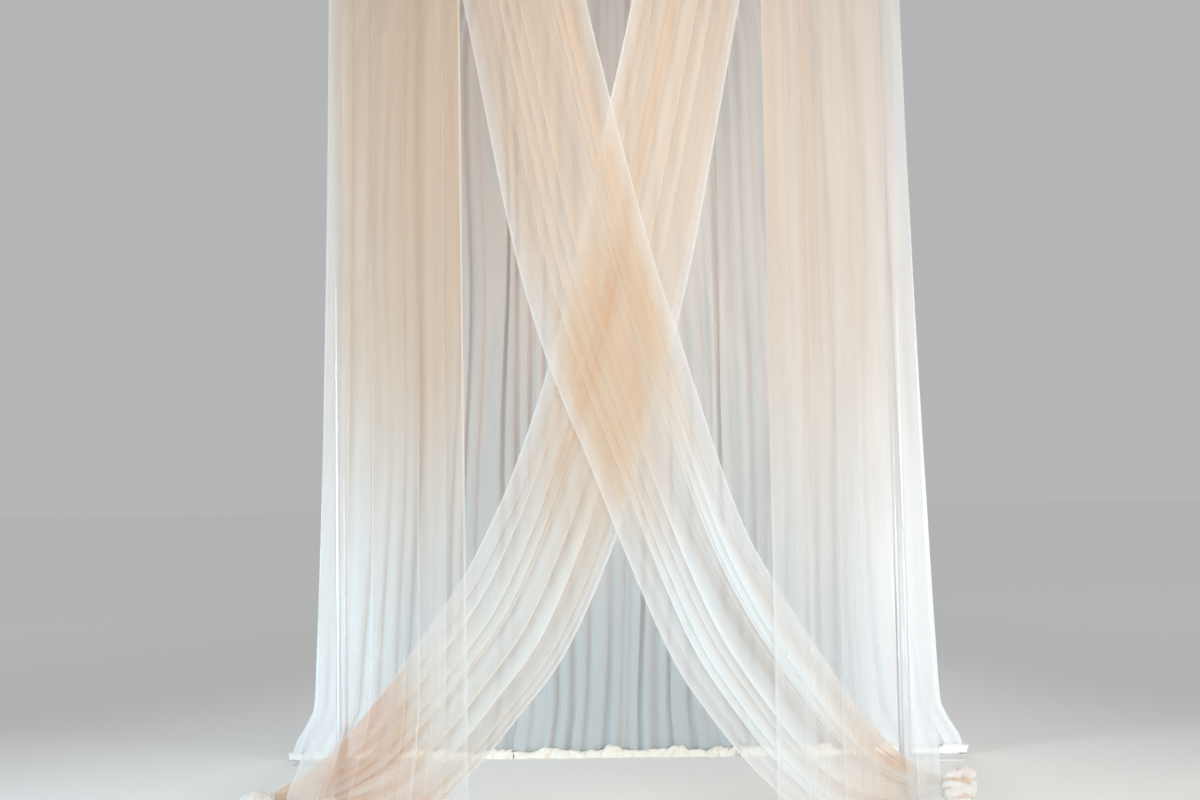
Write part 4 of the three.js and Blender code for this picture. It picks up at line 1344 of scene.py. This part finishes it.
# %% [markdown]
# A tie band is a strip of the sheet's own cloth, folded lengthwise and wrapped tight, so its
# section is a flat loop with rounded edges and small wrinkles run round it. One band goes round
# the foot of the upright and the neck band goes round the gathered sheet. The ties are hidden from
# the front, so this is their usual shape.

# %% tie bands
BAND_COLUMNS = 144
BAND_HEIGHT = 0.2
BAND_SLANT = 260
POST_WRINKLES = 0.0006
NECK_WRINKLES = 0.0012
# The neck band's wall is thinner than the post's and its strip narrower: shares of the profile
NECK_BAND_RADIUS = 0.35
NECK_BAND_WIDTH = 0.7
# The band's outline: distance from the upright's line, and height
BAND_PROFILE = [(0.0262, -0.0172), (0.0295, -0.0176), (0.0318, -0.015), (0.0326, -0.005),
                (0.0319, 0.0), (0.0326, 0.006), (0.0318, 0.015), (0.0295, 0.0176), (0.0262, 0.0172)]


def band_ring(radius, height, wrinkles):
    """The radius at each point of a strip wound round a line, with slanting wrinkles."""
    angle = ring_angles(BAND_COLUMNS)[None, :]
    slant = BAND_SLANT * height
    return radius + wrinkles * np.sin(7 * angle + slant) * np.sin(11 * angle - 0.7 * slant), angle


# A band that faces nowhere counts as one crease all over: it is closely wound, so it is as dense as
# a fold line, and as white, which is partly that thread and partly a painted highlight
NOWHERE = (0, 0, 0)
profile_radius, profile_height = (np.array(column)[:, None] for column in zip(*BAND_PROFILE))
for name, neck in NECK.items():
    x, y = upright_line(f"front_{name}")
    radius, angle = band_ring(profile_radius, profile_height, POST_WRINKLES)
    post_ring = np.stack([x + radius * np.cos(angle), y + radius * np.sin(angle),
                          BAND_HEIGHT + profile_height + 0 * angle], axis=-1)
    band = mesh_from_grids(f"post_band_{name}", [post_ring], tail_voile, closed_loops=True,
                           facing=NOWHERE)
    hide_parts(f"tie_band_{name}")
    thinner = profile_radius * NECK_BAND_RADIUS + 0.004
    radius, angle = band_ring(thinner, profile_height, NECK_WRINKLES)
    neck_ring = np.stack([neck[0] + NECK_BAND_WIDTH * profile_height + 0 * angle,
                          NECK_Y + radius * 1.1 * np.cos(angle),
                          neck[1] + (radius + NECK_HALF - 0.012) * np.sin(angle)], axis=-1)
    band = mesh_from_grids(f"neck_band_{name}", [neck_ring], tail_voile, closed_loops=True,
                           facing=NOWHERE)
print("tie bands", 2 * len(NECK))

# %% [markdown]
# The roof is two light cloths. Each laps over the front and the back bar, lies along its side bar
# and sags towards the middle, where a gap stays open between the two. Its folds run from front to
# back, because the cloth is gathered on those two bars. A hanging cloth's own curve is close to a
# parabola, so that is what each fold follows.

# %% roof cloths
# In metres: the sag, half the gap in the middle, the distance from the bars' middle line, how far
# the outer edge lies outside its side bar between the ends and inside it at them, and the least sag
ROOF = {"sag": 0.330, "gap": 0.130, "lift": 0.0352, "overhang": 0.022, "inset": 0.045, "dip": 0.008}
# The folds' depth over the bars, and what is added between them
ROOF_DEPTH = (0.0015, 0.0095)
ROOF_OVERLAP = 1.3
ROOF_WRAP = math.radians(80)
ROOF_WRAP_SHARE = 0.12
# The roof's painted warm light: its strength at the middle, and how far from the middle it fades out
ROOF_WARMTH = 0.5
ROOF_WARM_REACH = 1.2
ROOF_HEM_COLUMNS = 4
ROOF_PLEATS = 13
ROOF_COLUMNS = ROOF_PLEATS * 12
ROOF_ROWS = 96


def roof_grid(side, seed):
    pattern = pleats(ROOF_COLUMNS, ROOF_PLEATS, seed)
    v = np.linspace(0, 1, ROOF_ROWS)[:, None]
    from_end = np.minimum(v, 1 - v)
    opened = smooth(from_end * 3)
    opened_rows = opened[:, 0]
    depth = ROOF_DEPTH[0] + ROOF_DEPTH[1] * opened_rows
    across, ripple, _ = pleated_rows(pattern, ROOF_PLEATS, ROOF_OVERLAP + opened_rows, depth, 0)
    u = np.clip(across, 0, 1)
    deep = ROOF["dip"] + ROOF["sag"] * smooth((u - 0.1) / 0.7)
    leaving = np.arctan(4 * deep / (BACK_Y - FRONT_Y))
    inward = np.where(v < 0.5, 1, -1)
    angle = lerp(-ROOF_WRAP, leaving, np.minimum(from_end / ROOF_WRAP_SHARE, 1))
    wrap_y = np.where(v < 0.5, FRONT_Y, BACK_Y) + inward * ROOF["lift"] * np.sin(angle)
    share = (v - ROOF_WRAP_SHARE) / (1 - 2 * ROOF_WRAP_SHARE)
    reach = BACK_Y - ROOF["lift"] * np.sin(leaving)
    span_z = ROOF["lift"] * np.cos(leaving) - np.tan(leaving) * 2 * reach * share * (1 - share)
    on_bar = from_end < ROOF_WRAP_SHARE
    y = np.where(on_bar, wrap_y, lerp(-reach, reach, share))
    z = BAR_Z + np.where(on_bar, ROOF["lift"] * np.cos(angle), span_z) + ripple
    along = np.clip((y - FRONT_Y) / (BACK_Y - FRONT_Y), 0, 1)
    bar_x = lerp(middle("crown_front_right").x, middle("crown_back_right").x, along)
    held = smooth(8 * np.minimum(along, 1 - along))
    outer = bar_x + lerp(-ROOF["inset"], ROOF["overhang"], held)
    return np.stack([side * lerp(outer, ROOF["gap"], u), y, z], axis=-1)


for name, side in (("left", -1), ("right", 1)):
    grid = roof_grid(side, 120 + side)
    plan = grid[..., [0, 1, 1]]
    warmth = ROOF_WARMTH * near(plan, 0, 0, ROOF_WARM_REACH, ROOF_WARM_REACH)
    cloth = mesh_from_grids(f"roof_{name}", [grid, *hem_strips(grid, ROOF_HEM_COLUMNS)], roof_voile,
                            facing=(0, 0, 1), warmth=warmth)
    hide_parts(f"roof_cloth_{name}")
    print("roof", name, "flat", cloth_size(grid))
